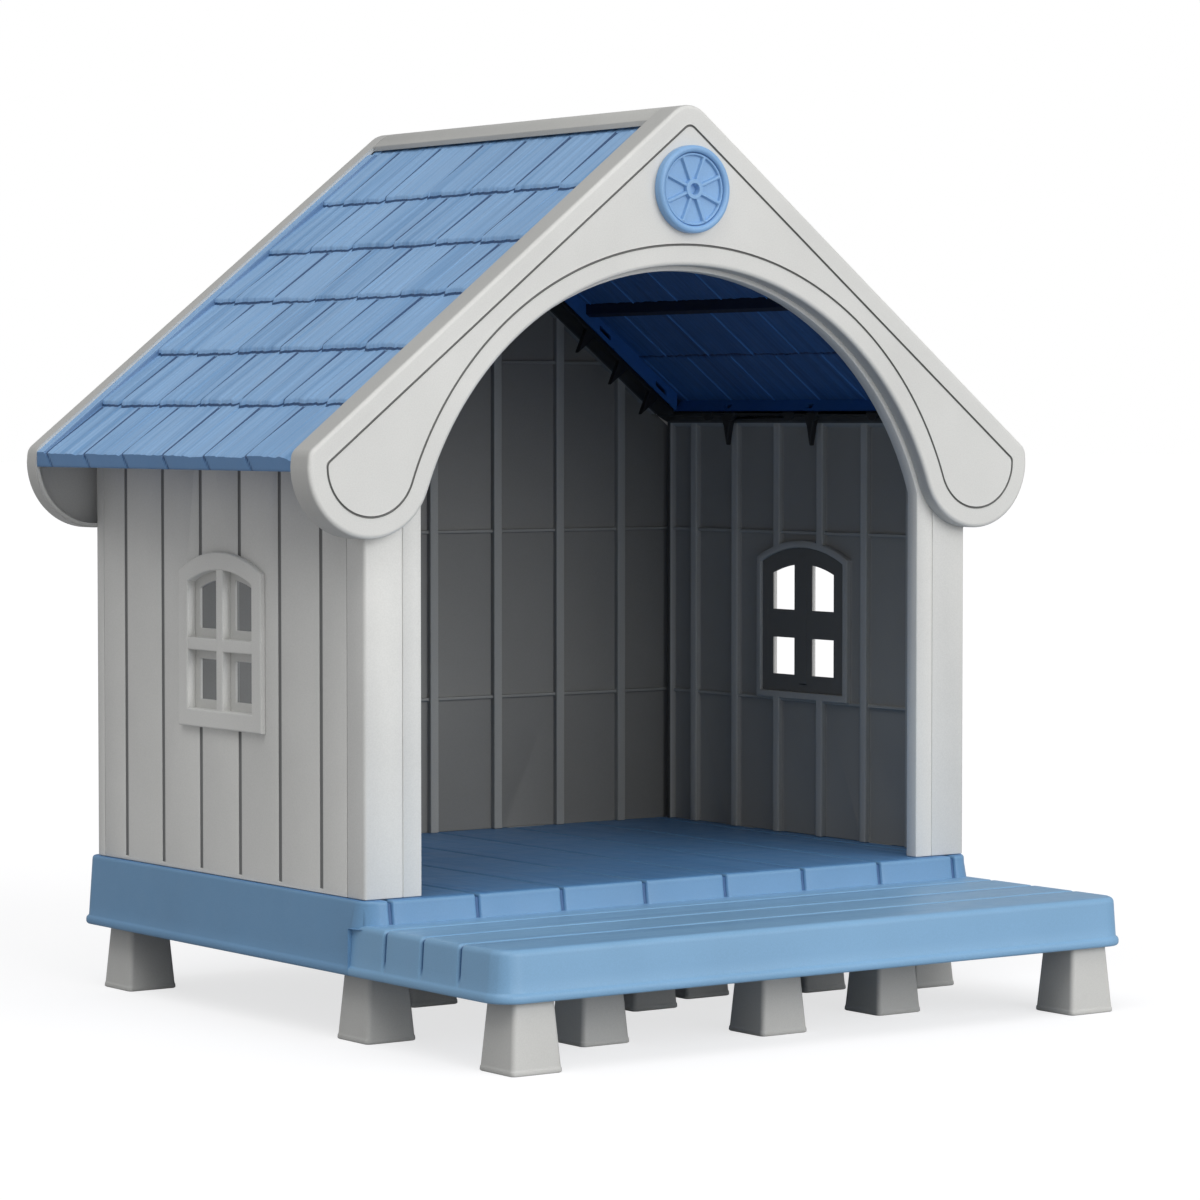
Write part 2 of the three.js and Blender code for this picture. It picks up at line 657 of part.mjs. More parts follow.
function makeBackWall() {
  const rear = cabinDepth;
  const front = rear - skin;
  const under = underRoof(ledgeTop, 0, far);
  const bodies = [block(-wallX, wallX, front, rear, wallFoot, far)];
  for (const side of [-1, 1]) {
    const x0 = side > 0 ? wallX - skin : -wallX;
    bodies.push(block(x0, x0 + skin, rear - backReturn, rear, wallFoot, far));
  }
  for (const x of gridPlaces(backRibCount, backRibPitch, 0)) {
    bodies.push(block(x - ribWidth / 2, x + ribWidth / 2, front - ribHeight, rear - 1, wallFoot, far));
  }
  for (const z of crossRibHeights) {
    bodies.push(block(
      -wallX + 1, wallX - 1, front - crossRibHeight, rear - 1, z - crossRibWidth / 2, z + crossRibWidth / 2));
  }
  const ledge = underRoof(ledgeTop, rear - rearLedgeReach, rear)
    .subtract(underRoof(ledgeTop + ledgeThickness, 0, far))
    .intersect(block(-wallX + ledgeReach + clearance, wallX - ledgeReach - clearance, -far, far, 0, far));
  bodies.push(ledge);
  let wall = joinAll(bodies).intersect(under);
  for (const x of gridPlaces(backRibCount, backRibPitch, 0)) {
    wall = wall.subtract(block(
      x - plankGrooveWidth / 2, x + plankGrooveWidth / 2, rear - plankGrooveDepth, rear + 1,
      wallFoot + plankGrooveFoot, far));
  }
  const hooks = [];
  const halfRoot = hookRoot / 2;
  for (const side of [-1, 1]) {
    for (const x of rearHookInsets.map((inset) => wallX - inset)) {
      const z = roofLine(x, ledgeTop + 1);
      const points = [
        [x - halfRoot * Math.cos(roofPitch), z + halfRoot * Math.sin(roofPitch)],
        [x - hookLength * Math.sin(roofPitch), z - hookLength * Math.cos(roofPitch)],
        [x + halfRoot * Math.cos(roofPitch), z - halfRoot * Math.sin(roofPitch)],
      ];
      hooks.push(prism(side > 0 ? points : mirrorX(points), 'Y',
        rear - rearLedgeReach, rear - rearLedgeReach + hookWidth));
    }
  }
  const trim = joinAll(hooks).intersect(underRoof(ledgeTop + 1, 0, far));
  wall = wall.add(trim);
  return wall.add(ownTabs(block(-far, far, rear - skin - 2, far, 0, far)));
}

// ---------------------------------------------------------------------------------------------
// Posts and door frame
// ---------------------------------------------------------------------------------------------

function makePost(side) {
  const outer = wallX;
  const inner = wallX - postFace + clearance / 2;
  const outline = [
    [outer - skin, skin], [outer - skin, postReturn - skin], [outer - edgeFlange, postReturn - skin],
    [outer - edgeFlange, postReturn], [outer, postReturn],
    ...roundCorner([outer, postReturn], [outer, 0], [inner, 0], postCornerRadius, 4),
    [inner, 0], [inner, revealDepth], [inner + skin, revealDepth], [inner + skin, skin],
  ];
  const points = side > 0 ? outline : mirrorX(outline);
  return prism(points, 'Z', wallFoot, far).intersect(underRoof(ledgeTop, -far, far));
}

// Half outline of the door frame, drawn in by a distance on every side.
function frameOutline(inset) {
  const outer = wallX - postFace - clearance / 2 - inset;
  const jamb = doorHalfWidth + inset;
  const radius = archRadius - frameArchMargin + inset;
  const start = THREE.MathUtils.radToDeg(Math.acos(jamb / radius));
  const offset = ledgeTop + inset;
  const right = [
    [jamb, wallFoot + inset], [outer, wallFoot + inset], [outer, roofLine(outer, offset)],
    [0, roofLine(0, offset)],
  ];
  const left = [[-outer, roofLine(outer, offset)], [-outer, wallFoot + inset], [-jamb, wallFoot + inset]];
  const arch = arc(0, archCentreHeight, radius, 180 - start, start, 40);
  return [...right, ...left, ...arch];
}

function makeDoorFrame() {
  const outside = prism(frameOutline(0), 'Y', 0, revealDepth);
  const pocket = prism(frameOutline(skin), 'Y', skin, revealDepth + 1);
  const x = wallX - postFace - clearance / 2;
  const ledge = underRoof(ledgeTop, revealDepth - 1, ledgeReach)
    .subtract(underRoof(ledgeTop + ledgeThickness, 0, far))
    .intersect(block(-x, x, -far, far, 0, far));
  return outside.subtract(pocket).add(ledge);
}

// ---------------------------------------------------------------------------------------------
// Gable boards
// ---------------------------------------------------------------------------------------------

// Outline of a gable board, drawn in by a distance on every side: straight roof edges, a round
// lobe at each end and the arch that runs from one lobe to the other.
function gableOutline(inset) {
  const line = (x) => roofLine(x, inset);
  const radius = lobeRadius - inset;
  // Where the roof line meets the lobe: the far crossing of the line with the circle.
  const apexZ = line(0);
  const b = -2 * lobeX - 2 * slope * (apexZ - lobeHeight);
  const c = lobeX * lobeX + (apexZ - lobeHeight) ** 2 - radius * radius;
  const a = 1 + slope * slope;
  const tipX = (-b + Math.sqrt(Math.max(b * b - 4 * a * c, 0))) / (2 * a);
  const tip = [tipX, line(tipX)];
  const tipAngle = THREE.MathUtils.radToDeg(Math.atan2(tip[1] - lobeHeight, tip[0] - lobeX));

  // The lobe and the arch touch on the line between their centres.
  const joinAngle = THREE.MathUtils.radToDeg(Math.atan2(lobeHeight - archCentreHeight, lobeX));
  const lobe = arc(lobeX, lobeHeight, radius, tipAngle, joinAngle - 180, 24);
  const archHalf = arc(0, archCentreHeight, archRadius + inset, joinAngle, 90, 24);

  const apexRound = Math.max(apexRadius - inset, 4);
  const apex = roundCorner([-1, line(1)], [0, apexZ], [1, line(1)], apexRound, 8).filter(([x]) => x >= 0);
  const tipRound = roundCorner(apex[apex.length - 1], tip, lobe[2], Math.max(lobeTipRadius - inset, 3), 4);
  const right = [...apex, ...tipRound, ...lobe.slice(2), ...archHalf.slice(1)];
  return [...right, ...mirrorX(right).slice(1, -1)];
}

// A board is a tray: a front skin with a rim behind its outline. Where the cabin stands in the
// way, the rim is only as deep as the gap in front of it.
function makeGable(faceY, inward, gap, rim) {
  const span = (from, to) => [
    Math.min(faceY + inward * from, faceY + inward * to),
    Math.max(faceY + inward * from, faceY + inward * to),
  ];
  const outline = gableOutline(0);
  const body = prism(outline, 'Y', ...span(0, rim));
  const pocket = prism(gableOutline(skin), 'Y', ...span(skin, rim + 1));
  const cabin = underRoof(capThickness + clearance, ...span(gap - clearance, rim + 1))
    .intersect(block(-wallX - clearance, wallX + clearance, -far, far, 0, far));
  const inlay = prism(gableOutline(inlayInset), 'Y', ...span(-1, inlayDepth))
    .subtract(prism(gableOutline(inlayInset + inlayWidth), 'Y', ...span(-2, inlayDepth + 1)));
  const tray = body.subtract(pocket).subtract(inlay);
  return rim > gap - clearance ? tray.subtract(cabin) : tray;
}

function cylinderY(radius, y0, y1, z, segments) {
  const geometry = new THREE.CylinderGeometry(radius, radius, y1 - y0, segments);
  geometry.translate(0, (y0 + y1) / 2, z);
  return solid(geometry);
}

// Wheel-shaped ornament: a backing plate with a rim, eight spokes and a bored hub in relief.
function makeRosette() {
  const back = gableFrontFace - clearance;
  const plate = back - rosettePlate;
  const face = plate - rosetteRelief;
  const z = rosetteHeight;
  const disc = cylinderY(rosetteRadius, plate, back, z, 48);
  const rim = cylinderY(rosetteRadius, face, plate + 1, z, 48)
    .subtract(cylinderY(rosetteRadius - rosetteRimWidth, face - 1, plate, z, 40));
  const hub = cylinderY(rosetteHubRadius, face, plate + 1, z, 24);
  const spokes = [];
  for (let i = 0; i < rosetteSpokes / 2; i += 1) {
    const spoke = new THREE.BoxGeometry(
      2 * rosetteRadius - rosetteRimWidth, plate - face, rosetteSpokeWidth);
    spoke.rotateY((2 * Math.PI * i) / rosetteSpokes);
    spoke.translate(0, (plate + face) / 2 + 1, z);
    spokes.push(solid(spoke));
  }
  const peg = cylinderY(rosettePegRadius, back - 1, gableFrontFace + skin + rosettePegReach, z, 20);
  return joinAll([disc, rim, hub, ...spokes, peg])
    .subtract(cylinderY(rosetteBoreRadius, face - 1, plate, z, 20));
}

// ---------------------------------------------------------------------------------------------
// Roof
// ---------------------------------------------------------------------------------------------

// A point of the panel's cross-section: along the slope from the middle, and in from the roof line.
function slopePoint(x, offset) {
  return [x, roofLine(x, offset)];
}

function makeRoofPanel(side) {
  const placed = (points) => (side > 0 ? points : mirrorX(points));
  const at = (xa, xb, ya, yb, za, zb) => block(
    Math.min(side * xa, side * xb), Math.max(side * xa, side * xb), ya, yb, za, zb);

  // Cross-section: a plain strip under the ridge cap, then the courses, each thicker at its foot.
  const width = (eaveReach - firstCourse) / courses;
  const upper = [slopePoint(ridgeGap, shingleLow)];
  const lower = [slopePoint(ridgeGap, panelUnder)];
  for (let i = 0; i < courses; i += 1) {
    const x0 = firstCourse + i * width;
    const x1 = Math.min(x0 + width + panelSkin, eaveReach);
    upper.push(slopePoint(x0, shingleLow), slopePoint(x0 + width, shingleTop));
    lower.push(slopePoint(x0 + panelSkin, panelUnder), slopePoint(x1, panelUnder - underStep));
  }
  const bodies = [prism(placed([...lower, ...upper.reverse()]), 'Y', panelFrontY, panelRearY)];
  const [eaveX, eaveZ] = slopePoint(eaveReach, shingleTop);
  const eaveFoot = eaveZ - eaveDepth;
  bodies.push(prism(placed([
    [eaveX - panelSkin - eaveTaper, eaveZ], [eaveX - panelSkin, eaveFoot], [eaveX, eaveFoot],
    [eaveX, eaveZ],
  ]), 'Y', panelFrontY, panelRearY));

  // Flanges square to the slope stand on the ledges inside the walls, and a rib lies between them.
  const frontY = ledgeReach - roofFlangeThickness;
  const rearY = cabinDepth - rearLedgeReach;
  const footZ = sideLedgeHeight + clearance;
  const footX = (roofApex - vertical(panelUnder + roofFlange) - footZ) / slope;
  const normalX = Math.sin(roofPitch);
  const normalZ = Math.cos(roofPitch);
  const reach = roofFlange + panelSkin;
  const t = roofFlangeThickness;
  const foot = [footX, footZ];
  const head = [footX + reach * normalX, footZ + reach * normalZ];
  const sideFlange = prism(placed([
    foot, [foot[0] + t * normalZ, foot[1] - t * normalX], [head[0] + t * normalZ, head[1] - t * normalX],
    head,
  ]), 'Y', frontY, rearY + t).intersect(at(0, far, -far, far, footZ, far));
  const band = underRoof(shingleLow + 0.5, -far, far)
    .subtract(underRoof(panelUnder + roofFlange, -2 * far, 2 * far));
  const shallowBand = underRoof(shingleLow + 0.5, -far, far)
    .subtract(underRoof(panelUnder + purlinDepth, -2 * far, 2 * far));
  const purlinX = firstCourse + purlinCourse * width - purlinRise;
  const flangeEnd = footX + t;
  bodies.push(
    sideFlange,
    band.intersect(at(ridgeGap, flangeEnd, frontY, frontY + t, footZ, far)),
    band.intersect(at(ridgeGap, flangeEnd, rearY, rearY + t, footZ, far)),
    band.intersect(at(ridgeGap, ridgeGap + t, frontY, rearY + t, footZ, far)),
    shallowBand.intersect(at(purlinX - purlinWidth, purlinX, frontY, rearY, footZ, far)),
  );

  // Slots in the rear flange and holes at the top of the side flange take the wall hooks.
  const openings = [];
  for (const x of flangeSlotInsets.map((inset) => wallX - inset)) {
    const z = roofLine(x, panelUnder + roofFlange / 2);
    const dx = (flangeSlotLength / 2) * normalZ;
    const dz = (flangeSlotLength / 2) * normalX;
    const h = flangeSlotWidth / 2;
    const slot = [[x - dx, z + dz - h], [x + dx, z - dz - h], [x + dx, z - dz + h], [x - dx, z + dz + h]];
    openings.push(prism(placed(slot), 'Y', rearY - 1, rearY + t + 1));
  }

  // Joints between the shingles, half a shingle apart from course to course.
  const seams = [];
  const count = Math.ceil((panelRearY - panelFrontY) / shingleWidth) + 1;
  for (let i = 0; i < courses; i += 1) {
    const xa = firstCourse + i * width;
    const xb = xa + width;
    const shift = (courses - 1 - i) % 2 === 0 ? 0 : shingleWidth / 2;
    const [topX, topZ] = slopePoint(xa + 1, shingleLow);
    const [endX, endZ] = slopePoint(xb, shingleTop);
    const seamPoints = [
      [topX, topZ - seamDepth], [endX + 0.02, endZ - seamDepth], [endX + 0.02, endZ + 4], [topX, topZ + 6],
    ];
    for (let j = 0; j < count; j += 1) {
      const y = panelFrontY + seamLead + (j + 1) * shingleWidth - shift;
      if (y > panelFrontY + 6 && y < panelRearY - 6) {
        seams.push(prism(placed(seamPoints), 'Y', y - seamWidth / 2, y + seamWidth / 2));
      }
    }
  }
  return joinAll(bodies).subtract(joinAll([...seams, ...openings]));
}

// An angled cap strip with a rounded crest, the same thickness all over.
function makeRidgeCap() {
  const crest = (offset) => roundCorner(
    [-1, roofLine(1, offset)], [0, roofLine(0, offset)], [1, roofLine(1, offset)], apexRadius - offset, 10);
  const points = [
    slopePoint(-capReach, capThickness), ...crest(capThickness), slopePoint(capReach, capThickness),
    slopePoint(capReach, 0), ...crest(0).reverse(), slopePoint(-capReach, 0),
  ];
  return prism(points, 'Y', panelFrontY, panelRearY);
}

// ---------------------------------------------------------------------------------------------
// Assembly
// ---------------------------------------------------------------------------------------------

const house = new THREE.Group();

function addPiece(name, body, material) {
  const mesh = new THREE.Mesh(geometryOf(body), material());
  mesh.name = name;
  house.add(mesh);
}

addPiece('deck', makeDeck(), finish.deck);
for (const [name, x, y] of feet) {
  addPiece(name, makeFoot(x, y), finish.foot);
}
addPiece('side_wall_left', makeSideWall(-1), finish.wall);
addPiece('side_wall_right', makeSideWall(1), finish.wall);
addPiece('back_wall', makeBackWall(), finish.wall);
addPiece('window_left', makeWindow(-1), finish.trim);
addPiece('window_right', makeWindow(1), finish.trim);
addPiece('corner_post_left', makePost(-1), finish.wall);
addPiece('corner_post_right', makePost(1), finish.wall);
addPiece('door_frame', makeDoorFrame(), finish.wall);

const pegHole = cylinderY(
  rosettePegRadius + clearance, gableFrontFace - 1, gableFrontFace + skin + 1, rosetteHeight, 20);
addPiece('gable_front', makeGable(gableFrontFace, 1, gableFrontStandoff, gableRim).subtract(pegHole), finish.trim);
addPiece('gable_rear', makeGable(gableRearFace, -1, gableRearStandoff, rearGableRim), finish.trim);
addPiece('gable_rosette', makeRosette(), finish.roof);
addPiece('roof_panel_left', makeRoofPanel(-1), finish.roof);
addPiece('roof_panel_right', makeRoofPanel(1), finish.roof);
addPiece('ridge_cap', makeRidgeCap(), finish.trim);

house.position.y = -(porchFrontLip + gableRearFace) / 2;

export default house;
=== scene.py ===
import math

import bmesh
import bpy
import numpy as np
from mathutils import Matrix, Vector


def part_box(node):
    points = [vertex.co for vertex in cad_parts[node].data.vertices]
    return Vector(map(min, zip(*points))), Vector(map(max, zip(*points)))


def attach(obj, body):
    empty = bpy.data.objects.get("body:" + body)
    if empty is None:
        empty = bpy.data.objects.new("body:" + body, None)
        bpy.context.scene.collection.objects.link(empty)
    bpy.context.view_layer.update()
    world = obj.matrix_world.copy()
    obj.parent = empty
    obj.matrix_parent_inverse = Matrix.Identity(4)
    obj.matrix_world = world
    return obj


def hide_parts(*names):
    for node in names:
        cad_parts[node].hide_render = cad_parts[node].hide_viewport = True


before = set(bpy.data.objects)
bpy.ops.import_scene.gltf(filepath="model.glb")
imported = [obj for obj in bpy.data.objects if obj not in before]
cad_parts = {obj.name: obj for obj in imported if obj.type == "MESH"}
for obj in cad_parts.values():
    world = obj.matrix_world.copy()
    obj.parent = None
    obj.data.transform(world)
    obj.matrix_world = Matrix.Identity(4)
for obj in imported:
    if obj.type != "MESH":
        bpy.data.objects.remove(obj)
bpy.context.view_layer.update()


# ------------------------------
# Stage. A pale floor that keeps the shadow of the house, a soft key light high on the front
# right, a weak fill over the left roof slope, and the camera where the photographer stood.
# ------------------------------

def placed(name, data):
    """A new object of the scene that holds the data."""
    thing = bpy.data.objects.new(name, data)
    bpy.context.scene.collection.objects.link(thing)
    return thing


def aimed(thing, direction):
    """Turns a camera or a lamp to look along a direction."""
    thing.rotation_euler = Vector(direction).to_track_quat("-Z", "Y").to_euler()


# Place, direction and lens as fitted to the corners of the house in the photograph.
camera = placed("camera", bpy.data.cameras.new("camera"))
camera.location = (-2.1948, -3.0704, 0.5207)
aimed(camera, (0.5823, 0.8118, -0.0431))
camera.data.sensor_width = 36.0
camera.data.lens = 126.57
camera.data.clip_end = 100.0
bpy.context.scene.camera = camera
bpy.context.scene.view_settings.view_transform = "Standard"


def sun(name, travel, strength, spread):
    """A far lamp whose light travels along a direction, softened over a spread in degrees."""
    lamp = placed(name, bpy.data.lights.new(name, "SUN"))
    aimed(lamp, travel)
    lamp.data.energy = strength
    lamp.data.angle = math.radians(spread)


sun("key_light", (-0.20, 0.93, -0.30), 1.88, 55)
sun("roof_light", (0.42, 0.25, -0.87), 0.9, 40)


def empty_tree(owner):
    """The shader nodes of a material or a world, cleared."""
    owner.use_nodes = True
    owner.node_tree.nodes.clear()
    return owner.node_tree


def shader_node(tree, kind, inputs=None, **fields):
    """A new shader node: its own fields, and its inputs as values or as sockets to be linked."""
    node = tree.nodes.new("ShaderNode" + kind)
    for field, value in fields.items():
        setattr(node, field, value)
    for title, value in (inputs or {}).items():
        if isinstance(value, bpy.types.NodeSocket):
            tree.links.new(value, node.inputs[title])
        else:
            node.inputs[title].default_value = value
    return node


def seen_apart(tree, seen, lighting, shown, output):
    """One shader lights the scene, and another is what the camera sees."""
    mix = shader_node(tree, "MixShader", {0: seen, 1: lighting.outputs[0], 2: shown.outputs[0]})
    shader_node(tree, output, {0: mix.outputs[0]})


world = bpy.data.worlds.new("studio")
bpy.context.scene.world = world
tree = empty_tree(world)
path = shader_node(tree, "LightPath").outputs
seen = shader_node(
    tree, "Math", {0: path["Is Camera Ray"], 1: path["Is Transmission Ray"]}, operation="MAXIMUM")
ambient = shader_node(tree, "Background", {"Color": (1, 1, 1, 1), "Strength": 0.42})
backdrop = shader_node(tree, "Background", {"Color": (1, 1, 1, 1), "Strength": 1.0})
seen_apart(tree, seen.outputs[0], ambient, backdrop, "OutputWorld")

floor_mesh = bpy.data.meshes.new("floor")
floor_mesh.from_pydata([(-40, -40, 0), (40, -40, 0), (40, 40, 0), (-40, 40, 0)], [], [(0, 1, 2, 3)])
placed("floor", floor_mesh)
paper = bpy.data.materials.new("floor_paper")
tree = empty_tree(paper)
lit = shader_node(tree, "BsdfDiffuse", {"Color": (0.45, 0.45, 0.46, 1)})
shown = shader_node(tree, "BsdfDiffuse", {"Color": (0.36, 0.36, 0.37, 1)})
glow = shader_node(tree, "Emission", {"Strength": 0.72})
both = shader_node(tree, "AddShader", {0: shown.outputs[0], 1: glow.outputs[0]})
seen_apart(tree, shader_node(tree, "LightPath").outputs["Is Camera Ray"], lit, both, "OutputMaterial")
floor_mesh.materials.append(paper)


# ------------------------------
# Deck. One injection moulding in mid blue polypropylene: cabin floor, porch one step lower and a
# flared skirt with a rolled edge. The tool's fine texture is on it, and wood grain on the planks.
# ------------------------------

def node_group(name, inputs, outputs):
    """An empty shader node group with the named (name, kind, value) inputs and (name, kind) outputs."""
    group = bpy.data.node_groups.new(name, "ShaderNodeTree")
    for title, kind, value in inputs:
        socket = group.interface.new_socket(title, in_out="INPUT", socket_type="NodeSocket" + kind)
        if value is not None:
            socket.default_value = value
    for title, kind in outputs:
        group.interface.new_socket(title, in_out="OUTPUT", socket_type="NodeSocket" + kind)
    return group, group.nodes.new("NodeGroupInput"), group.nodes.new("NodeGroupOutput")


def stretched_noise(tree, source, scale, size, detail, roughness=0.5):
    """Noise read from a vector that is first scaled by axis, so that its grains become streaks."""
    mapping = shader_node(tree, "Mapping", {"Scale": scale, "Vector": source})
    noise = shader_node(tree, "TexNoise", {
        "Scale": size, "Detail": detail, "Roughness": roughness, "Vector": mapping.outputs[0]})
    return noise.outputs["Fac"]


def ranged(tree, value, low, high, to_low, to_high):
    """A value carried from one range to another and held inside it."""
    return shader_node(tree, "MapRange", {
        "From Min": low, "From Max": high, "To Min": to_low, "To Max": to_high,
        "Value": value}).outputs["Result"]


def math_node(tree, operation, first, second=0.5):
    """One arithmetic step between sockets or plain numbers."""
    return shader_node(tree, "Math", {0: first, 1: second}, operation=operation).outputs[0]


# Moulded skin: spark-eroded tool texture about half a millimetre across, faint cloudiness in the
# colour from the flow of the melt, and patches that are a little duller.
skin, skin_in, skin_out = node_group(
    "moulded_skin",
    [("Position", "Vector", None), ("Colour", "Color", (0.8, 0.8, 0.8, 1)), ("Cloud", "Float", 0.06),
     ("Roughness", "Float", 0.5)],
    [("Colour", "Color"), ("Roughness", "Float"), ("Height", "Float")])
position = skin_in.outputs["Position"]
cloud = stretched_noise(skin, position, (1, 1, 1), 7.0, 3.0)
speck = stretched_noise(skin, position, (1, 1, 1), 900.0, 2.0)
dull = stretched_noise(skin, position, (1, 1, 1), 45.0, 2.0)
spread = math_node(skin, "MULTIPLY", ranged(skin, cloud, 0.3, 0.7, -1.0, 1.0), skin_in.outputs["Cloud"])
grain_tone = math_node(skin, "MULTIPLY", ranged(skin, speck, 0.3, 0.7, -1.0, 1.0), 0.035)
tone = math_node(skin, "ADD", math_node(skin, "ADD", spread, grain_tone), 1.0)
tinted = shader_node(skin, "VectorMath", {0: skin_in.outputs["Colour"], "Scale": tone}, operation="SCALE")
skin.links.new(tinted.outputs[0], skin_out.inputs["Colour"])
skin.links.new(
    math_node(skin, "ADD", skin_in.outputs["Roughness"], ranged(skin, dull, 0.3, 0.7, -0.05, 0.06)),
    skin_out.inputs["Roughness"])
skin.links.new(speck, skin_out.inputs["Height"])

# Moulded wood grain: long wandering streaks along the grain with a few deeper ones.
grain, grain_in, grain_out = node_group("moulded_grain", [("Along", "Vector", None)], [("Height", "Float")])
along = grain_in.outputs["Along"]
fine = ranged(grain, stretched_noise(grain, along, (5, 260, 260), 1.0, 3.0, 0.6), 0.35, 0.65, 0.0, 1.0)
deep = ranged(grain, stretched_noise(grain, along, (2.2, 70, 70), 1.0, 2.0), 0.30, 0.46, 1.0, 0.0)
grain.links.new(math_node(grain, "SUBTRACT", fine, deep), grain_out.inputs["Height"])


def linear(code):
    """The linear colour of a six-digit sRGB code."""
    channels = np.array([int(code[i:i + 2], 16) for i in (0, 2, 4)]) / 255.0
    values = np.where(channels <= 0.04045, channels / 12.92, ((channels + 0.055) / 1.055) ** 2.4)
    return (*values.tolist(), 1.0)


def plastic(name, colour, roughness, cloud=0.05):
    """A moulded plastic finish: returns the material, its tree, the skin group and the shader."""
    material = bpy.data.materials.new(name)
    tree = empty_tree(material)
    surface = shader_node(tree, "Group", {
        "Colour": linear(colour), "Cloud": cloud, "Roughness": roughness,
        "Position": shader_node(tree, "TexCoord").outputs["Object"]}, node_tree=skin)
    bump = shader_node(tree, "Bump", {
        "Strength": 0.35, "Distance": 0.00003, "Height": surface.outputs["Height"]})
    shader = shader_node(tree, "BsdfPrincipled", {
        "IOR": 1.47, "Base Color": surface.outputs["Colour"], "Roughness": surface.outputs["Roughness"],
        "Normal": bump.outputs[0]})
    shader_node(tree, "OutputMaterial", {0: shader.outputs[0]})
    return material, tree, surface, shader


def blended(tree, mask, first, second):
    """Two colours mixed by a mask: the second shows where the mask is 1."""
    return shader_node(tree, "Mix", {"Factor": mask, 6: first, 7: second}, data_type="RGBA").outputs[2]


def moulded_copy(node, radius, material, body):
    """A moulding made from its CAD solid: equal corners are merged, flat regions become single
    faces, and every crease sharper than 28 degrees is rounded to the radius in metres."""
    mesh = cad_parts[node].data.copy()
    mesh.materials.clear()
    mesh.materials.append(material)
    work = bmesh.new()
    work.from_mesh(mesh)
    bmesh.ops.remove_doubles(work, verts=work.verts, dist=2e-5)
    bmesh.ops.dissolve_limit(work, angle_limit=math.radians(0.5), verts=work.verts, edges=work.edges)
    for face in work.faces:
        face.smooth = True
        face.material_index = 0
    work.to_mesh(mesh)
    work.free()
    piece = placed(node + "_moulding", mesh)
    edge = piece.modifiers.new("rounded_edges", "BEVEL")
    edge.width = radius
    edge.segments = 2
    edge.limit_method = "ANGLE"
    edge.angle_limit = math.radians(28)
    edge.use_clamp_overlap = False
    edge.harden_normals = True
    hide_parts(node)
    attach(piece, body)


def points_at(*coordinates):
    """Points from their coordinates, of which any may be one number for all of them."""
    return np.stack(np.broadcast_arrays(*coordinates), axis=-1)


def smooth_step(value, low, high):
    """0 below the low edge, 1 above the high edge, and a smooth cubic between them."""
    t = np.clip((value - low) / (high - low), 0, 1)
    return t * t * (3 - 2 * t)


def spaced(low, high, step, features, offsets):
    """Places from low to high at about a step, and instead of those near a feature the given
    offsets on both sides of it."""
    base = np.linspace(low, high, int(round((high - low) / step)) + 1)
    reach = max(offsets) + 0.3 * step
    near = np.abs(base[:, None] - np.asarray(features)[None, :]).min(axis=1) < reach
    near[[0, -1]] = False
    both = np.concatenate([-np.asarray(offsets)[::-1], [0.0], offsets])
    extra = (np.asarray(features)[:, None] + both[None, :]).ravel()
    return np.unique(np.round(np.concatenate([base[~near], extra]), 6))


def sheet_faces(first, rows, columns):
    """Quads of a grid of points whose numbers start at first."""
    index = first + np.arange(rows * columns).reshape(rows, columns)
    corners = [index[:-1, :-1], index[:-1, 1:], index[1:, 1:], index[1:, :-1]]
    return np.stack(corners, axis=-1).reshape(-1, 4)


def closed_sheet(outer, inner):
    """Two grids of points with the same rows and columns, joined by quads along their borders."""
    rows, columns, _ = outer.shape
    count = rows * columns
    index = np.arange(count).reshape(rows, columns)
    border = np.concatenate([index[0, :-1], index[:-1, -1], index[-1, :0:-1], index[:0:-1, 0]])
    after = np.roll(border, -1)
    walls = np.stack([border, after, after + count, border + count], axis=-1)
    faces = np.concatenate([sheet_faces(0, rows, columns), sheet_faces(count, rows, columns), walls])
    return np.concatenate([outer.reshape(-1, 3), inner.reshape(-1, 3)]), faces.tolist()


def loops_shell(loops, joined=False):
    """A surface through closed loops, an array of (loops, points, 3): neighbouring loops are
    joined by quads; the ends are filled, or the last loop is joined to the first."""
    count, size, _ = loops.shape
    index = np.arange(count * size).reshape(count, size)
    beside = np.roll(index, -1, axis=1)
    if joined:
        low, low_next = index, beside
        high, high_next = np.roll(index, -1, axis=0), np.roll(beside, -1, axis=0)
    else:
        low, low_next, high, high_next = index[:-1], beside[:-1], index[1:], beside[1:]
    faces = np.stack([low, low_next, high_next, high], axis=-1).reshape(-1, 4).tolist()
    if not joined:
        faces += [index[0][::-1].tolist(), index[-1].tolist()]
    return loops.reshape(-1, 3), faces


def made(name, shells, node, body, material, crease):
    """A piece of closed shells, each turned outwards, shaded smooth except where it turns more
    than the crease angle; it takes the place of a CAD node and rides on a body."""
    points, faces, first = [], [], 0
    for shell_points, shell_faces in shells:
        points.append(shell_points)
        faces += [[first + corner for corner in face] for face in shell_faces]
        first += len(shell_points)
    mesh = bpy.data.meshes.new(name)
    mesh.from_pydata(np.concatenate(points).tolist(), [], faces)
    work = bmesh.new()
    work.from_mesh(mesh)
    bmesh.ops.recalc_face_normals(work, faces=work.faces)
    limit = math.radians(crease)
    for face in work.faces:
        face.smooth = True
    for edge in work.edges:
        if len(edge.link_faces) == 2 and edge.calc_face_angle(0.0) > limit:
            edge.smooth = False
    work.to_mesh(mesh)
    work.free()
    piece = placed(name, mesh)
    mesh.materials.append(material)
    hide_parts(node)
    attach(piece, body)
    return piece


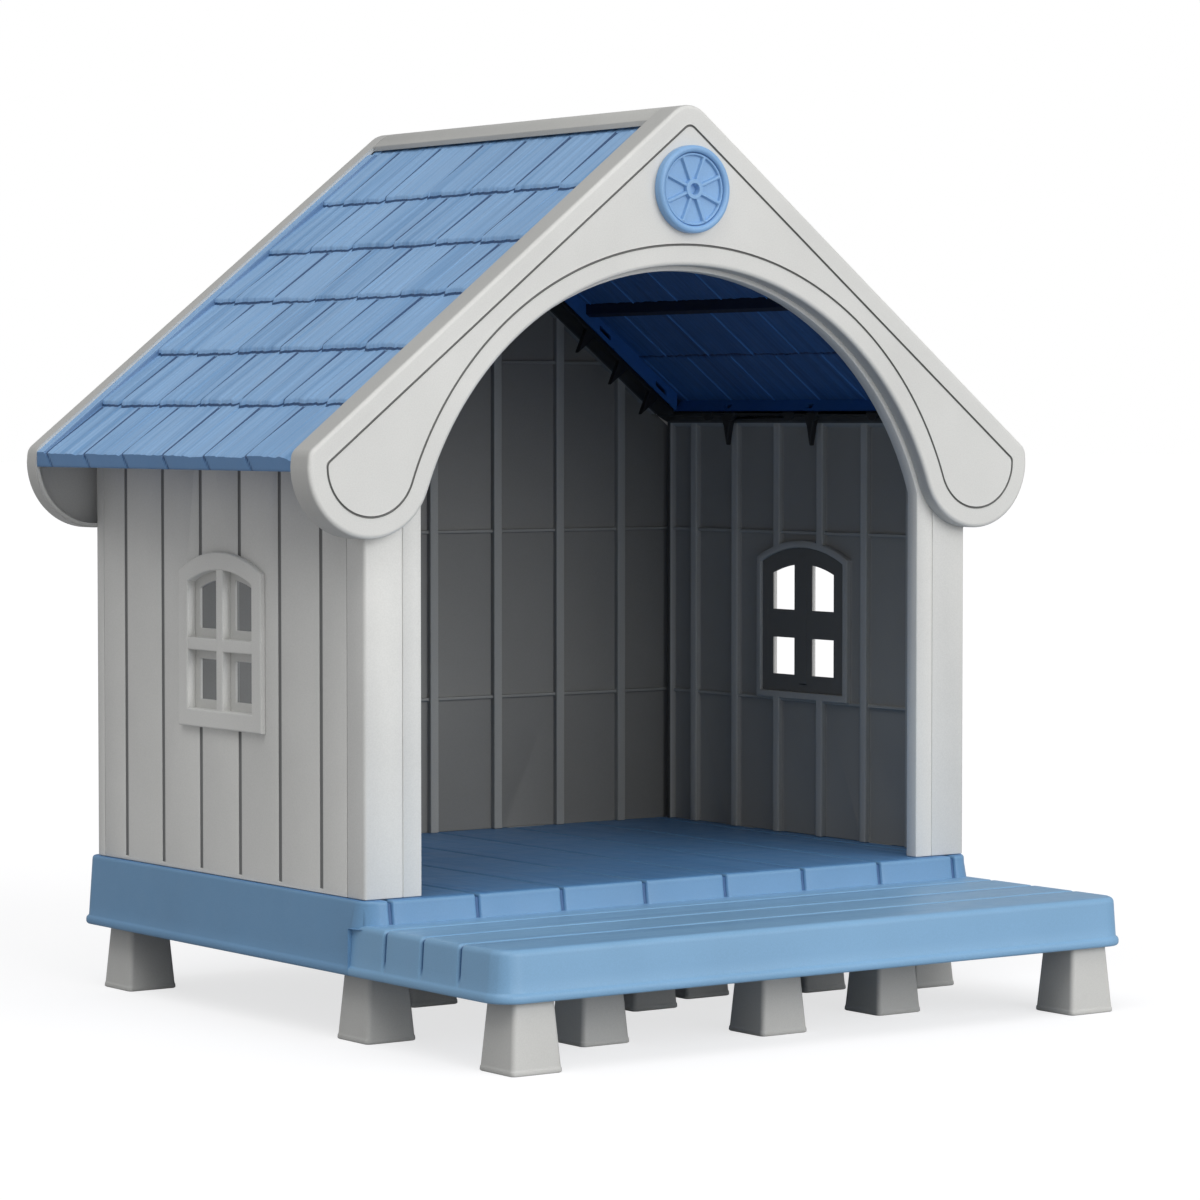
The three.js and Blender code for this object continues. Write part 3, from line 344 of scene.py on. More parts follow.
def shaded(piece, **values):
    """Named numbers, one for each point of a piece, for its material to read."""
    for title, numbers in values.items():
        attribute = piece.data.attributes.new(title, "FLOAT", "POINT")
        attribute.data.foreach_set("value", np.ascontiguousarray(numbers, dtype=np.float32).ravel())


def rounded_square(cx, cy, half_x, half_y, radius, steps):
    """A rectangle with arcs at its corners, centred on a point."""
    quarter = np.linspace(0, np.pi / 2, steps)
    angle = np.concatenate([quarter + k * np.pi / 2 for k in range(4)])
    sign_x = np.repeat([1, -1, -1, 1], steps)
    sign_y = np.repeat([1, 1, -1, -1], steps)
    return points_at(
        cx + sign_x * (half_x - radius) + radius * np.cos(angle),
        cy + sign_y * (half_y - radius) + radius * np.sin(angle))


def pad(x, y, half_x, half_y, low, high, radius=0.0008):
    """An upright block round a place, with rounded corners and a small bevel at both its ends."""
    bevel = 0.8 * radius
    loops = []
    for z, inset in ((low, bevel), (low + bevel, 0), (high - bevel, 0), (high, bevel)):
        loops.append(points_at(*rounded_square(x, y, half_x - inset, half_y - inset, radius, 4).T, z))
    return loops_shell(np.stack(loops))


# Places taken from the CAD model: the deck's edges, the step in front of the posts and the floor.
# The groove offsets are where a joint's section needs points, out from its middle.
deck_low, deck_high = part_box("deck")
post_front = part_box("corner_post_left")[0].y
flare, bead_high, bead_out, porch_step, floor_ledge = 0.0035, 0.008, 0.0025, 0.0203, 0.0089
deck_half = deck_high.x - flare - bead_out
deck_front = deck_low.y + flare + bead_out
deck_rear = deck_high.y - flare - bead_out
skirt_foot = deck_low.z
floor_top = deck_high.z
porch_top = floor_top - porch_step
riser_y = post_front - floor_ledge
groove_offsets = [0.0009, 0.0017, 0.0022, 0.0027, 0.0032, 0.0037, 0.0043]


def joint(distance):
    """The section of a joint between two planks: 1 along a flat bed 3.4 mm wide, steep sides, and
    soft shoulders that end 4.3 mm from the middle."""
    wall = 1 - smooth_step(distance, 0.0016, 0.0026)
    shoulder = np.clip((0.0043 - distance) / 0.0021, 0, 1) ** 2
    return 0.72 * wall + 0.28 * shoulder


def flare_at(z):
    """How far the skirt stands outside the floor's top edge at a height."""
    high, low = floor_top - 0.003, skirt_foot + bead_high
    return flare * np.clip((high - z) / (high - low), 0, 1)


def skirt_profile(top, fillet):
    """Outset and height down a block's edge: a quarter round, the flared side, and the bead."""
    turn = np.radians([90, 70, 50, 30, 12])
    outset = list(fillet * (np.cos(turn) - 1))
    height = list(top - fillet * (1 - np.sin(turn)))
    bead_top = skirt_foot + bead_high
    drop = lambda z: flare_at(z) - flare_at(top - fillet)
    for z in (top - fillet - 0.0006, top - fillet - 0.005, bead_top + 0.010, bead_top + 0.001):
        outset.append(drop(z))
        height.append(z)
    for z, out in ((0.0, 0.0003), (-0.0007, 0.0013), (-0.0016, 0.0021), (-0.0032, 0.0025),
                   (-0.0056, 0.0025), (-0.0070, 0.0019), (-0.0078, 0.0008)):
        outset.append(drop(bead_top) + out)
        height.append(bead_top + z)
    return np.array(outset), np.array(height)


def block_sheet(fx, fy, half, front, rear, fillet, radii, profile, shallow, open_rear):
    """Points and outward normals of a rounded block without a bottom. A grid over the plan runs
    on over its edges and down the sides; near an upright corner the grid's squares of equal
    reach become arcs: the angle is an eighth turn times the smaller over the larger reach."""
    outset, height = profile
    depth = len(outset) - 1
    slant = np.gradient(np.stack([outset, height]), axis=1)
    slant = slant / np.linalg.norm(slant, axis=0)
    normal_out, normal_up = -slant[1], slant[0]
    normal_out[0], normal_up[0] = 0.0, 1.0
    x_in = fx * (half - fillet)
    y0, y1 = front + fillet, rear - (0 if open_rear else fillet)
    y_in = y0 + fy * (y1 - y0)
    steps = np.arange(1, depth + 1)
    x = np.concatenate([np.full(depth, x_in[0]), x_in, np.full(depth, x_in[-1])])
    kx = np.concatenate([steps[::-1], np.zeros(len(x_in), int), steps])
    tail = 0 if open_rear else depth
    y = np.concatenate([np.full(depth, y_in[0]), y_in, np.full(tail, y_in[-1])])
    ky = np.concatenate([steps[::-1], np.zeros(len(y_in), int), steps[:tail]])
    x, y = np.meshgrid(x, y)
    kx, ky = np.meshgrid(kx, ky)
    ring = np.maximum(kx, ky)
    side_x = np.sign(x)
    toward_front = y < (front + rear) / 2
    side_y = np.where(toward_front, -1.0, 1.0)
    radius = np.where(toward_front, radii[0], radii[1])
    base_y = np.where(toward_front, front + radius, rear - radius)
    unit = 0.001
    past_x = np.abs(x) - (half - radius) + kx * unit
    past_y = side_y * (y - base_y) + ky * unit
    if open_rear:
        past_y = np.where(toward_front, past_y, -1.0)
    tiny = 1e-9
    corner = (past_x > tiny) & (past_y > tiny)
    larger = np.maximum(np.maximum(past_x, past_y), tiny)
    reach = np.where(ring == 0, larger, radius + outset[ring])
    ratio_xy = np.clip(past_y / np.maximum(past_x, tiny), 0, 1)
    ratio_yx = np.clip(past_x / np.maximum(past_y, tiny), 0, 1)
    angle = np.where(past_x >= past_y, np.pi / 4 * ratio_xy, np.pi / 2 - np.pi / 4 * ratio_yx)
    plan_x = np.where(corner, side_x * (half - radius + reach * np.cos(angle)),
                      np.where(kx > 0, side_x * (half + outset[kx]), x))
    plan_y = np.where(corner, base_y + side_y * reach * np.sin(angle),
                      np.where(ky > 0, np.where(toward_front, front - outset[ky], rear + outset[ky]), y))
    z = height[ring]
    if shallow is not None:
        zone = toward_front & (past_y > tiny)
        z = np.where(zone, np.maximum(z, shallow + (z - height[-1]) * 0.02), z)
    out_x = np.where(corner, side_x * np.cos(angle), np.where(kx > 0, side_x, 0.0))
    out_y = np.where(corner, side_y * np.sin(angle), np.where((ky > 0) & (kx == 0), side_y, 0.0))
    normal = points_at(normal_out[ring] * out_x, normal_out[ring] * out_y, normal_up[ring])
    return points_at(plan_x, plan_y, z), normal


def deck_piece(name, half, front, rear, top, fillet, radii, joints, along_x, shallow, open_rear, material):
    """A block whose joints sink along the normals, over a plain inner sheet 4 mm below it."""
    wall, sink = 0.0042, 0.0029
    edge_x, turn_x = half - fillet, half - radii[0]
    y_low, y_high = front + fillet, rear - (0 if open_rear else fillet)
    bends = [front + radii[0], rear - radii[1]]
    if along_x:
        x_places = spaced(-edge_x, edge_x, 0.014, [turn_x, -turn_x], [0.003, 0.006, 0.0085])
        y_places = spaced(y_low, y_high, 0.010, joints + bends[:1], groove_offsets)
    else:
        corner = np.linspace(turn_x, edge_x, 7)
        x_places = spaced(-edge_x, edge_x, 0.012, joints, groove_offsets)
        x_places = np.unique(np.concatenate([x_places, corner, -corner]))
        y_places = spaced(y_low, y_high, 0.014, bends, [0.0005, 0.003, 0.006])
        y_places = y_places[(y_places >= y_low) & (y_places <= y_high)]
    fx, fy = x_places / edge_x, (y_places - y_low) / (y_high - y_low)
    outset, height = skirt_profile(top, fillet)
    points, normal = block_sheet(
        fx, fy, half, front, rear, fillet, radii, (outset, height), shallow, open_rear)
    across = points[..., 1 if along_x else 0]
    sunk = joint(np.abs(across[..., None] - np.asarray(joints)).min(axis=-1))
    if along_x:
        bead_top = skirt_foot + bead_high
        sunk = sunk * smooth_step(points[..., 2], bead_top + 0.0005, bead_top + 0.004)
        sunk = sunk * (np.abs(points[..., 1] - front) > 0.02)
    else:
        sunk = sunk * (points[..., 1] < rear - 0.02)
    outer = points - sink * sunk[..., None] * normal
    number = np.arange(len(height))
    inner_height = np.minimum(height, top - wall - 0.00005 * number)
    inner_outset = np.maximum(outset, -0.0001) - 0.0001 * (number < 6)
    inner_outset[0] = -0.0012
    low = None if shallow is None else shallow - 0.0002
    inner, _ = block_sheet(
        fx, fy, half - wall, front + wall, rear - (0 if open_rear else wall), 0.0012,
        (radii[0] - wall, radii[1] - wall), (inner_outset, inner_height), low, open_rear)
    piece = made(name, [closed_sheet(outer, inner)], "deck", "house", material, 50)
    # joint_shade marks the beds of the plank joints for painted shade.
    shaded(piece, joint_shade=np.concatenate([smooth_step(sunk, 0.45, 0.9).ravel(), np.zeros(sunk.size)]))


def coordinate(tree, axis):
    """One Object coordinate."""
    place = shader_node(tree, "TexCoord").outputs["Object"]
    return shader_node(tree, "SeparateXYZ", {0: place}).outputs[axis]


def streaked(finish, along, across, height, where):
    """Moulded wood grain on a finish, along one Object axis: a relief of a height in metres where
    a mask is 1. Returns the streaks as a mask for two colours."""
    _, tree, _, shader = finish
    plan = shader_node(tree, "CombineXYZ", {0: coordinate(tree, along), 1: coordinate(tree, across)})
    wood = shader_node(tree, "Group", {"Along": plan.outputs[0]}, node_tree=grain).outputs["Height"]
    bump = shader_node(tree, "Bump", {
        "Strength": math_node(tree, "MULTIPLY", where, 0.8), "Distance": height, "Height": wood,
        "Normal": shader.inputs["Normal"].links[0].from_socket})
    tree.links.new(bump.outputs[0], shader.inputs["Normal"])
    return ranged(tree, wood, -0.6, 1.0, 0.0, 1.0)


def point_value(tree, title):
    """The number of that name that a piece holds for each of its points."""
    return shader_node(tree, "Attribute", attribute_name=title).outputs["Fac"]


def painted_joint_shade(tree, colour, shade_colour):
    """A colour darkened along the joints by the piece's joint_shade: painted shade in joints, grooves and
    recesses.
    """
    mask = ranged(tree, point_value(tree, "joint_shade"), 0.2, 0.9, 0.0, 0.85)
    return blended(tree, mask, colour, linear(shade_colour))


def deck_finish(name, along, across, top, flat, light, dark):
    """Blue plastic with grain on its flat top, a plain skirt, and painted shade in the joints."""
    finish = plastic(name, flat, 0.42)
    material, tree, surface, _ = finish
    on_top = math_node(tree, "GREATER_THAN", coordinate(tree, 2), top - 0.0006)
    wood = streaked(finish, along, across, 0.00014, on_top)
    colour = blended(tree, on_top, linear(flat), blended(tree, wood, linear(dark), linear(light)))
    # Painted shade in the joint beds, toward 2E5685.
    tree.links.new(painted_joint_shade(tree, colour, "2E5685"), surface.inputs["Colour"])
    return material


# The floor block, with the cabin floor, its riser and the deck's long sides, takes a darker blue than the
# porch: painted shade.
floor_shaded_finish = deck_finish("deck_floor_shaded_blue", 1, 0, floor_top, "6B96BC", "5C8CBC", "4A7AAD")
porch_finish = deck_finish("deck_porch_blue", 0, 1, porch_top, "7DA8CC", "84AFD2", "739FC8")
under_finish = plastic("deck_under_blue", "7BA5CC", 0.5)[0]

# Seven planks on the floor between its margins, and four across the porch.
floor_margin, planks = 0.0237, 7
floor_pitch = (2 * deck_half - 2 * floor_margin) / planks
floor_joints = [(i - planks / 2) * floor_pitch for i in range(planks + 1)]
first_joint, last_joint = deck_front + 0.0582, riser_y - 0.0302
porch_joints = [first_joint + i * (last_joint - first_joint) / 2 for i in range(3)]
deck_piece("deck_floor", deck_half, riser_y, deck_rear, floor_top, 0.003, (0.020, 0.012), floor_joints,
           False, porch_top - 0.003, False, floor_shaded_finish)
porch_flare = flare_at(porch_top - 0.005)
deck_piece("deck_porch", deck_half + porch_flare - 0.0001, deck_front - porch_flare, riser_y + 0.023,
           porch_top, 0.005, (0.020, 0.020), porch_joints, True, None, True, porch_finish)

# Under the deck: a square seat for each foot, and ribs that run between the seats.
feet_boxes = {node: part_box(node) for node in sorted(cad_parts) if node.startswith("foot_")}
seat_half, rib_half, rib_foot, rib_head = 0.021, 0.0015, 0.105, floor_top - 0.001
rib_y, rib_reach = (riser_y + deck_rear) / 2, (deck_rear - riser_y) / 2 - 0.002
under = []
for low, high in feet_boxes.values():
    x, y = (low.x + high.x) / 2, (low.y + high.y) / 2
    seat_head = (porch_top if y < riser_y else floor_top) - 0.0015
    under.append(pad(x, y, seat_half, seat_half, high.z + 0.0003, seat_head, 0.002))
for x in (-0.223, -0.072, 0.072, 0.223):
    under.append(pad(x, rib_y, rib_half, rib_reach, rib_foot, rib_head))
for y in (0.128, 0.260, 0.350):
    under.append(pad(0, post_front + y, deck_half - 0.002, rib_half, rib_foot, rib_head))
made("deck_underside", under, "deck", "house", under_finish, 50)


# ------------------------------
# Feet. Hollow tapered cups in pale grey plastic, square with soft corners, pushed up onto plugs
# under the deck. A low lip runs round each one at the ground.
# ------------------------------

foot_taper = 38 / 50
# Darker than the walls' grey: painted shade for feet that stand under the deck.
foot_shaded_grey = plastic("foot_shaded_grey", "C4C4C1", 0.5, cloud=0.04)[0]


def foot(node):
    """A rounded square carried up a tapering side: half its width falls in a straight line from
    the ground to the seat, with a slight step above the lip at its base."""
    low, high = feet_boxes[node]
    centre, base, tall = (low + high) / 2, (high.x - low.x) / 2, high.z
    top = base * foot_taper
    heights = [0.0, 0.0005, 0.0012, 0.0036, 0.0040, 0.0044, 0.006, tall - 0.0012, tall - 0.0003, tall]
    steps = [-0.0010, -0.0003, 0.0, 0.0, -0.0001, -0.0003, -0.0004, -0.0004, -0.0007, -0.0015]
    loops = []
    for height, step in zip(heights, steps):
        half = base + (top - base) * height / tall + step
        loops.append(points_at(*rounded_square(centre.x, centre.y, half, half, 0.0042, 7).T, height))
    made(node + "_cup", [loops_shell(np.stack(loops))], node, "house", foot_shaded_grey, 40)


for node in feet_boxes:
    foot(node)


# ------------------------------
# Walls. Pale grey moulded panels with plank joints outside and a grid of ribs inside. Their colour is
# painted by depth: painted shade in the joints, dark charcoal painted shade inside, painted highlights on rib
# crests.
# ------------------------------

wall_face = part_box("side_wall_right")[1].x
rear_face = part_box("back_wall")[1].y


def by_depth(tree, depth, stops):
    """A colour that changes with the depth below an outer face: each (millimetres, colour) holds
    from that depth on, up to 40 mm, and the change takes a quarter of a millimetre."""
    deepest, change = 40, 0.12
    ramp = shader_node(tree, "ValToRGB", {0: math_node(tree, "DIVIDE", depth, deepest / 1000)})
    elements = ramp.color_ramp.elements
    elements[0].color = linear(stops[0][1])
    elements.remove(elements[1])
    for (_, before), (millimetres, after) in zip(stops, stops[1:]):
        elements.new((millimetres - change) / deepest).color = linear(before)
        elements.new((millimetres + change) / deepest).color = linear(after)
    return ramp.outputs[0]


def side_depth(tree, face):
    """How far a point lies below a face that stands at both sides of the house."""
    return math_node(tree, "SUBTRACT", face, math_node(tree, "ABSOLUTE", coordinate(tree, 0)))


# Painted shade and highlight by depth: the plank joints from 0.45 mm, the dark charcoal inner faces, lighter
# steps towards the rib crests, and near black beyond 11 mm. The side walls take lighter inner shades than the
# back wall.
wall_stops = [(0.0, "D8D8D5"), (0.45, "7A7B7B"), (2.6, "7A7A78"), (5.5, "868785"), (8.5, "969795"),
              (11.0, "4A4B4A"), (14.0, "262728"), (30.0, "1A1B1C")]
side_stops = wall_stops[:2] + [(2.6, "949492"), (5.5, "9FA09E"), (8.5, "ADAEAC")] + wall_stops[5:]
side_grey, tree, surface, _ = plastic("side_wall_grey", "D8D8D5", 0.5)
tree.links.new(by_depth(tree, side_depth(tree, wall_face), side_stops), surface.inputs["Colour"])
back_grey, tree, surface, _ = plastic("back_wall_grey", "D8D8D5", 0.5)
rear_depth = math_node(tree, "SUBTRACT", rear_face, coordinate(tree, 1))
depth = math_node(tree, "MINIMUM", side_depth(tree, wall_face), rear_depth)
tree.links.new(by_depth(tree, depth, wall_stops), surface.inputs["Colour"])

for node, finish in (("side_wall_left", side_grey), ("side_wall_right", side_grey), ("back_wall", back_grey)):
    moulded_copy(node, 0.0007, finish, "house")


# ------------------------------
# Windows. A raised arched frame with cross bars in the same pale grey, pushed into a hole in the
# wall from outside. The plate with the four openings lies deeper than the bars.
# ------------------------------

window_low, window_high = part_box("window_right")
window_y = (window_low.y + window_high.y) / 2
window_half = (window_high.y - window_low.y) / 2
window_bottom = window_low.z
window_rise = 0.0175
window_face = window_high.x
plate_face = window_face - 0.009
plate_back = window_low.x
bar_half, bar_z, border, pane_border = 0.0055, window_bottom + 0.073, 0.016, 0.008
head_radius = (window_half ** 2 + window_rise ** 2) / (2 * window_rise)
head_centre = window_high.z - head_radius


def head_z(y, inset):
    """Height of the arched head over a place along the wall, drawn in by a distance."""
    return head_centre + np.sqrt((head_radius - inset) ** 2 - (y - window_y) ** 2)


def frame_loop(inset):
    """The window's outline: level foot, upright sides, and the head as an arc of one circle."""
    half = window_half - inset
    y = window_y + half * np.cos(np.linspace(0, np.pi, 25))
    foot_line = points_at(window_y + np.linspace(-half, half, 7), window_bottom + inset)
    return np.concatenate([foot_line, points_at(y, head_z(y, inset))])


def pane_loop(side_y, upper, inset):
    """The outline of one quarter between the bars and the frame, drawn in by a distance."""
    near, far = bar_half + inset, window_half - border - inset
    y = window_y + side_y * np.linspace(far, near, 9)
    low_z = (bar_z + bar_half if upper else window_bottom + border) + inset
    top_z = head_z(y, border + inset) if upper else bar_z - bar_half - inset
    foot_y = window_y + side_y * np.linspace(near, far, 5)
    return np.concatenate([points_at(foot_y, low_z), points_at(y, top_z)])


def ring_of(outline, profile, side):
    """An outline in the wall's plane carried round a closed profile of (inset, distance from the
    house's middle)."""
    loops = [points_at(side * x, *outline(inset).T) for inset, x in profile]
    return loops_shell(np.stack(loops), joined=True)


def quarter_round(radius, degrees):
    """Pairs (inset, depth) that turn over an edge, from its side to its face: the radius times
    one minus the cosine, and the radius times one minus the sine."""
    return [(radius * (1 - math.cos(t)), radius * (1 - math.sin(t))) for t in np.radians(degrees)]


def cross_bar(z, half_y, half_z, face, back, side):
    """A bar through the window's middle: its outline stands out from the back to the face with a
    quarter-round edge."""
    loops = []
    for inset, depth in [(0.0, face - back)] + quarter_round(0.0011, (0, 30, 60, 90)):
        flat = rounded_square(window_y, z, half_y - inset, half_z - inset, 0.0004, 3)
        loops.append(points_at(side * (face - depth), *flat.T))
    return loops_shell(np.stack(loops))


window_grey, tree, surface, _ = plastic("window_grey", "CDCDCA", 0.48)
# Painted shade by depth: a little darker on the sunk plate, dark grey deeper inside the openings.
window_stops = [(0.0, "D9D9D6"), (8.2, "C9C9C6"), (11.2, "6B6B69")]
tree.links.new(by_depth(tree, side_depth(tree, window_face), window_stops), surface.inputs["Colour"])


def window(node, side):
    """The frame as one ring, a ring round each of the four panes, and two crossing bars."""
    edge, lip, seat_x, pane_back = 0.0016, 0.0008, wall_face + 0.0003, plate_back + 0.0001
    edge_round = quarter_round(edge, (0, 22, 45, 67, 90))
    outer_round = [(inset, window_face - depth) for inset, depth in edge_round]
    inner_round = [(border - depth, window_face - inset) for inset, depth in edge_round]
    frame_profile = [
        (0.0, seat_x), *outer_round, (edge + 0.0004, window_face), (border - edge - 0.0004, window_face),
        *inner_round, (border, plate_back), (border / 2, plate_back), (border / 2, seat_x)]
    shells = [ring_of(frame_loop, frame_profile, side)]
    pane_profile = [
        (-0.0004, pane_back), (-0.0004, plate_face), (pane_border - lip - 0.0003, plate_face),
        (pane_border - lip, plate_face), (pane_border - 0.3 * lip, plate_face - 0.3 * lip),
        (pane_border, plate_face - lip), (pane_border, pane_back)]
    for side_y in (-1, 1):
        for upper in (False, True):
            shells.append(ring_of(lambda inset: pane_loop(side_y, upper, inset), pane_profile, side))
    bar_face = window_face - 0.0006
    foot_z, top_z = window_bottom + border - 0.0010, window_high.z - border + 0.0005
    shells.append(cross_bar(
        (foot_z + top_z) / 2, bar_half, (top_z - foot_z) / 2, bar_face, plate_back, side))
    shells.append(cross_bar(
        bar_z, window_half - border + 0.0010, bar_half, bar_face - 0.0001, plate_back + 0.0002, side))
    made(node + "_moulding", shells, node, "house", window_grey, 32)


window("window_left", -1)
window("window_right", 1)


# ------------------------------
# Corner posts and door frame. Smooth pale grey mouldings that wrap the front corners and frame
# the doorway; they hide the edges of the wall panels.
# ------------------------------

post_grey = plastic("post_grey", "D9D9D6", 0.46)[0]
for node in ("corner_post_left", "corner_post_right", "door_frame"):
    moulded_copy(node, 0.0009, post_grey, "house")


# ------------------------------
# Gable boards. Deep trays in pale grey with a generous rounded edge, an engraved line that
# follows the outline, and a round lobe at each lower end. The rear one's rim is shallower.
# ------------------------------

def arc_points(cx, cz, radius, start, end, count):
    """Points on a circle, centre plus radius times cosine and sine, angles in degrees."""
    angle = np.radians(np.linspace(start, end, count))
    return points_at(cx + radius * np.cos(angle), cz + radius * np.sin(angle))


def corner_points(a, b, c, radius, count):
    """The corner b between a and c as an arc that touches both sides: its centre lies on the
    bisector at radius over the sine of half the corner's angle."""
    to_a = (a - b) / np.linalg.norm(a - b)
    to_c = (c - b) / np.linalg.norm(c - b)
    half = math.acos(float(np.clip(to_a @ to_c, -1, 1))) / 2
    middle = to_a + to_c
    centre = b + middle / np.linalg.norm(middle) * radius / math.sin(half)
    first = b + to_a * radius / math.tan(half) - centre
    last = b + to_c * radius / math.tan(half) - centre
    start = math.degrees(math.atan2(first[1], first[0]))
    turn = math.degrees(math.atan2(last[1], last[0])) - start
    turn = (turn + 180) % 360 - 180
    return arc_points(centre[0], centre[1], radius, start, start + turn, count)


# The roof's slopes meet at the apex. The arch passes through its crown and runs into both lobes
# without a corner.
pitch = math.radians(38.3)
slope = math.tan(pitch)
crest_radius, tip_radius, lobe_radius, lobe_drop, crown_drop = 0.026, 0.012, 0.0605, 0.0583, 0.1457
roof_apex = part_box("ridge_cap")[1].z + crest_radius * (1 / math.cos(pitch) - 1)
lobe_x = wall_face + 0.002
lobe_z = roof_apex - slope * lobe_x - lobe_drop
above_lobe = roof_apex - crown_drop - lobe_z
arch_radius = (lobe_x ** 2 + above_lobe ** 2 - lobe_radius ** 2) / (2 * (lobe_radius + above_lobe))
arch_z = roof_apex - crown_drop - arch_radius


def roof_z(x, depth):
    """Height of the slope over a distance from the middle, at a depth below the roof line."""
    return roof_apex - depth / math.cos(pitch) - slope * x


def gable_loop(inset):
    """The outline in x and z, drawn in by a distance all round: roof line, tip, lobe circle, and
    the arch that touches the lobe on the line between their centres; then the same mirrored."""
    top, radius = roof_apex - inset / math.cos(pitch), lobe_radius - inset
    a = 1 + slope * slope
    b = -2 * lobe_x - 2 * slope * (top - lobe_z)
    c = lobe_x ** 2 + (top - lobe_z) ** 2 - radius ** 2
    tip_x = (-b + math.sqrt(b * b - 4 * a * c)) / (2 * a)
    tip = np.array([tip_x, top - slope * tip_x])
    tip_angle = math.degrees(math.atan2(tip[1] - lobe_z, tip[0] - lobe_x))
    touch = math.degrees(math.atan2(lobe_z - arch_z, lobe_x))
    round_top = max(crest_radius - inset, 0.004)
    apex = arc_points(0, top - round_top / math.cos(pitch), round_top, 90, 90 - math.degrees(pitch), 9)
    side = arc_points(lobe_x, lobe_z, radius, tip_angle, touch - 180, 45)
    bow = arc_points(0, arch_z, arch_radius + inset, touch, 90, 50)
    tip_round = corner_points(apex[-1], tip, side[3], max(tip_radius - inset, 0.006), 7)
    right = np.concatenate([apex, tip_round, side[3:], bow[1:]])
    left = right[1:-1][::-1] * np.array([-1, 1])
    return np.concatenate([right, left])


def gable_board(name, node, face, inward, gap, rim):
    """The outline carried along the board's profile: up the rim, round the edge, across the
    engraved line, and inside the tray from the rim back to the skin."""
    wall, edge, cabin, top_slack = 0.004, 0.0036, wall_face + 0.0003, 0.0124
    profile = [(0.0, rim), (0.0, rim - 0.0008)] + quarter_round(edge, (0, 15, 30, 45, 60, 75, 90))
    profile.append((edge + 0.0004, 0.0))
    # The shade list is painted shade: on the rim's back end and across its rounding.
    shade = [0.0, 0.0, 0.44, 0.44, 0.44, 0.40, 0.32, 0.22, 0.10, 0.0, 0.0, 0.0]
    line_in, half, deep = 0.0180, 0.0010, 0.0014
    line_shape = (
        (-2.3, 0.0), (-1.9, 0.0), (-1.45, -0.16), (-1.1, -0.10), (-0.85, 0.35), (-0.45, 0.92), (0.0, 1.0),
        (0.45, 0.92), (0.85, 0.35), (1.1, -0.06), (1.45, -0.10), (1.9, 0.0), (2.3, 0.0))
    # Painted shade in the engraved line where it is sunk.
    for shift, sunk in line_shape:
        profile.append((line_in + shift * half, sunk * deep))
        shade.append(1.0 if sunk > 0.3 else 0.0)
    flat = [gable_loop(inset) for inset, _ in profile]
    depth = [d for _, d in profile]
    beside = np.abs(flat[0][:, 0])
    in_cabin = (beside < cabin) & (flat[0][:, 1] < roof_z(beside, top_slack))
    back = np.where(in_cabin, np.minimum(gap - 0.0003, rim), rim)
    depth[:2] = [back, np.where(in_cabin, back - 0.0008, depth[1])]
    pocket = gable_loop(wall)
    flat = [pocket, pocket] + flat
    depth = [wall, back] + depth
    loops = np.stack([points_at(loop[:, 0], face + inward * d, loop[:, 1]) for loop, d in zip(flat, depth)])
    piece = made(name, [loops_shell(loops)], node, "roof", gable_grey, 50)
    shaded(piece, joint_shade=np.repeat(shade, loops.shape[1]))


gable_grey, tree, surface, _ = plastic("gable_grey", "D7D7D4", 0.42)
# Painted shade toward 4A4B4A along the rim and the engraved line.
tree.links.new(painted_joint_shade(tree, linear("D7D7D4"), "4A4B4A"), surface.inputs["Colour"])
front_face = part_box("gable_front")[0].y
rear_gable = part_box("gable_rear")
back_face, rear_rim = rear_gable[1].y, rear_gable[1].y - rear_gable[0].y
gable_board("gable_front_board", "gable_front", front_face, 1, post_front - front_face, 0.0283)
gable_board("gable_rear_board", "gable_rear", back_face, -1, back_face - rear_face, rear_rim)


# ------------------------------
# Round ornament. A sky blue disc pegged into the front gable: a broad rim with an inner step,
# eight slim spokes and a bored hub, all in soft relief.
# ------------------------------

ornament_blue = plastic("ornament_blue", "84AEDA", 0.34)[0]


def ornament():
    """A relief over a disc in polar steps: the height is the plate, plus rims and hub that depend
    on the radius alone, plus spokes that depend on the distance from eight straight rays."""
    low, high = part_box("gable_rosette")
    centre_z = (low.z + high.z) / 2
    outer = (high.x - low.x) / 2
    back = front_face - 0.0003
    radius = np.concatenate([
        [0.0002], np.linspace(0.0012, 0.0038, 5), np.linspace(0.0040, 0.0100, 25),
        np.linspace(0.0105, 0.0295, 34), np.linspace(0.0298, 0.0345, 20), np.linspace(0.0350, outer, 16)])
    angle = np.linspace(0, 2 * np.pi, 360, endpoint=False)
    r, a = np.meshgrid(radius, angle, indexing="ij")
    beside = np.abs(r * np.sin(np.mod(a, np.pi / 4) - np.pi / 8))
    crown = np.sqrt(np.clip(1 - ((r - outer + 0.0031) / 0.0032) ** 2, 0, 1))
    rim = np.where(r > outer - 0.0062, 0.0022 + 0.0030 * crown, 0)
    step = (smooth_step(r, 0.0289, 0.0296) - smooth_step(r, 0.0309, 0.0316)) * 0.0026
    hub = (smooth_step(r, 0.0043, 0.0052) - smooth_step(r, 0.0084, 0.0093)) * 0.0038
    spoke = (1 - smooth_step(beside, 0.0010, 0.0021)) * ((r > 0.0075) & (r < 0.0300)) * 0.0030
    height = 0.0028 + np.maximum.reduce([rim, step, hub, spoke])
    height = np.where(r < 0.0041, 0.0012, height)
    height = np.where(r >= outer - 1e-6, 0.0034, height)
    x, z = r * np.cos(a), centre_z + r * np.sin(a)
    face, edge = points_at(x, back - height, z), points_at(x[-1:], back, z[-1:])
    shell = loops_shell(np.concatenate([face, edge]))
    made("gable_ornament", [shell], "gable_rosette", "roof", ornament_blue, 60)


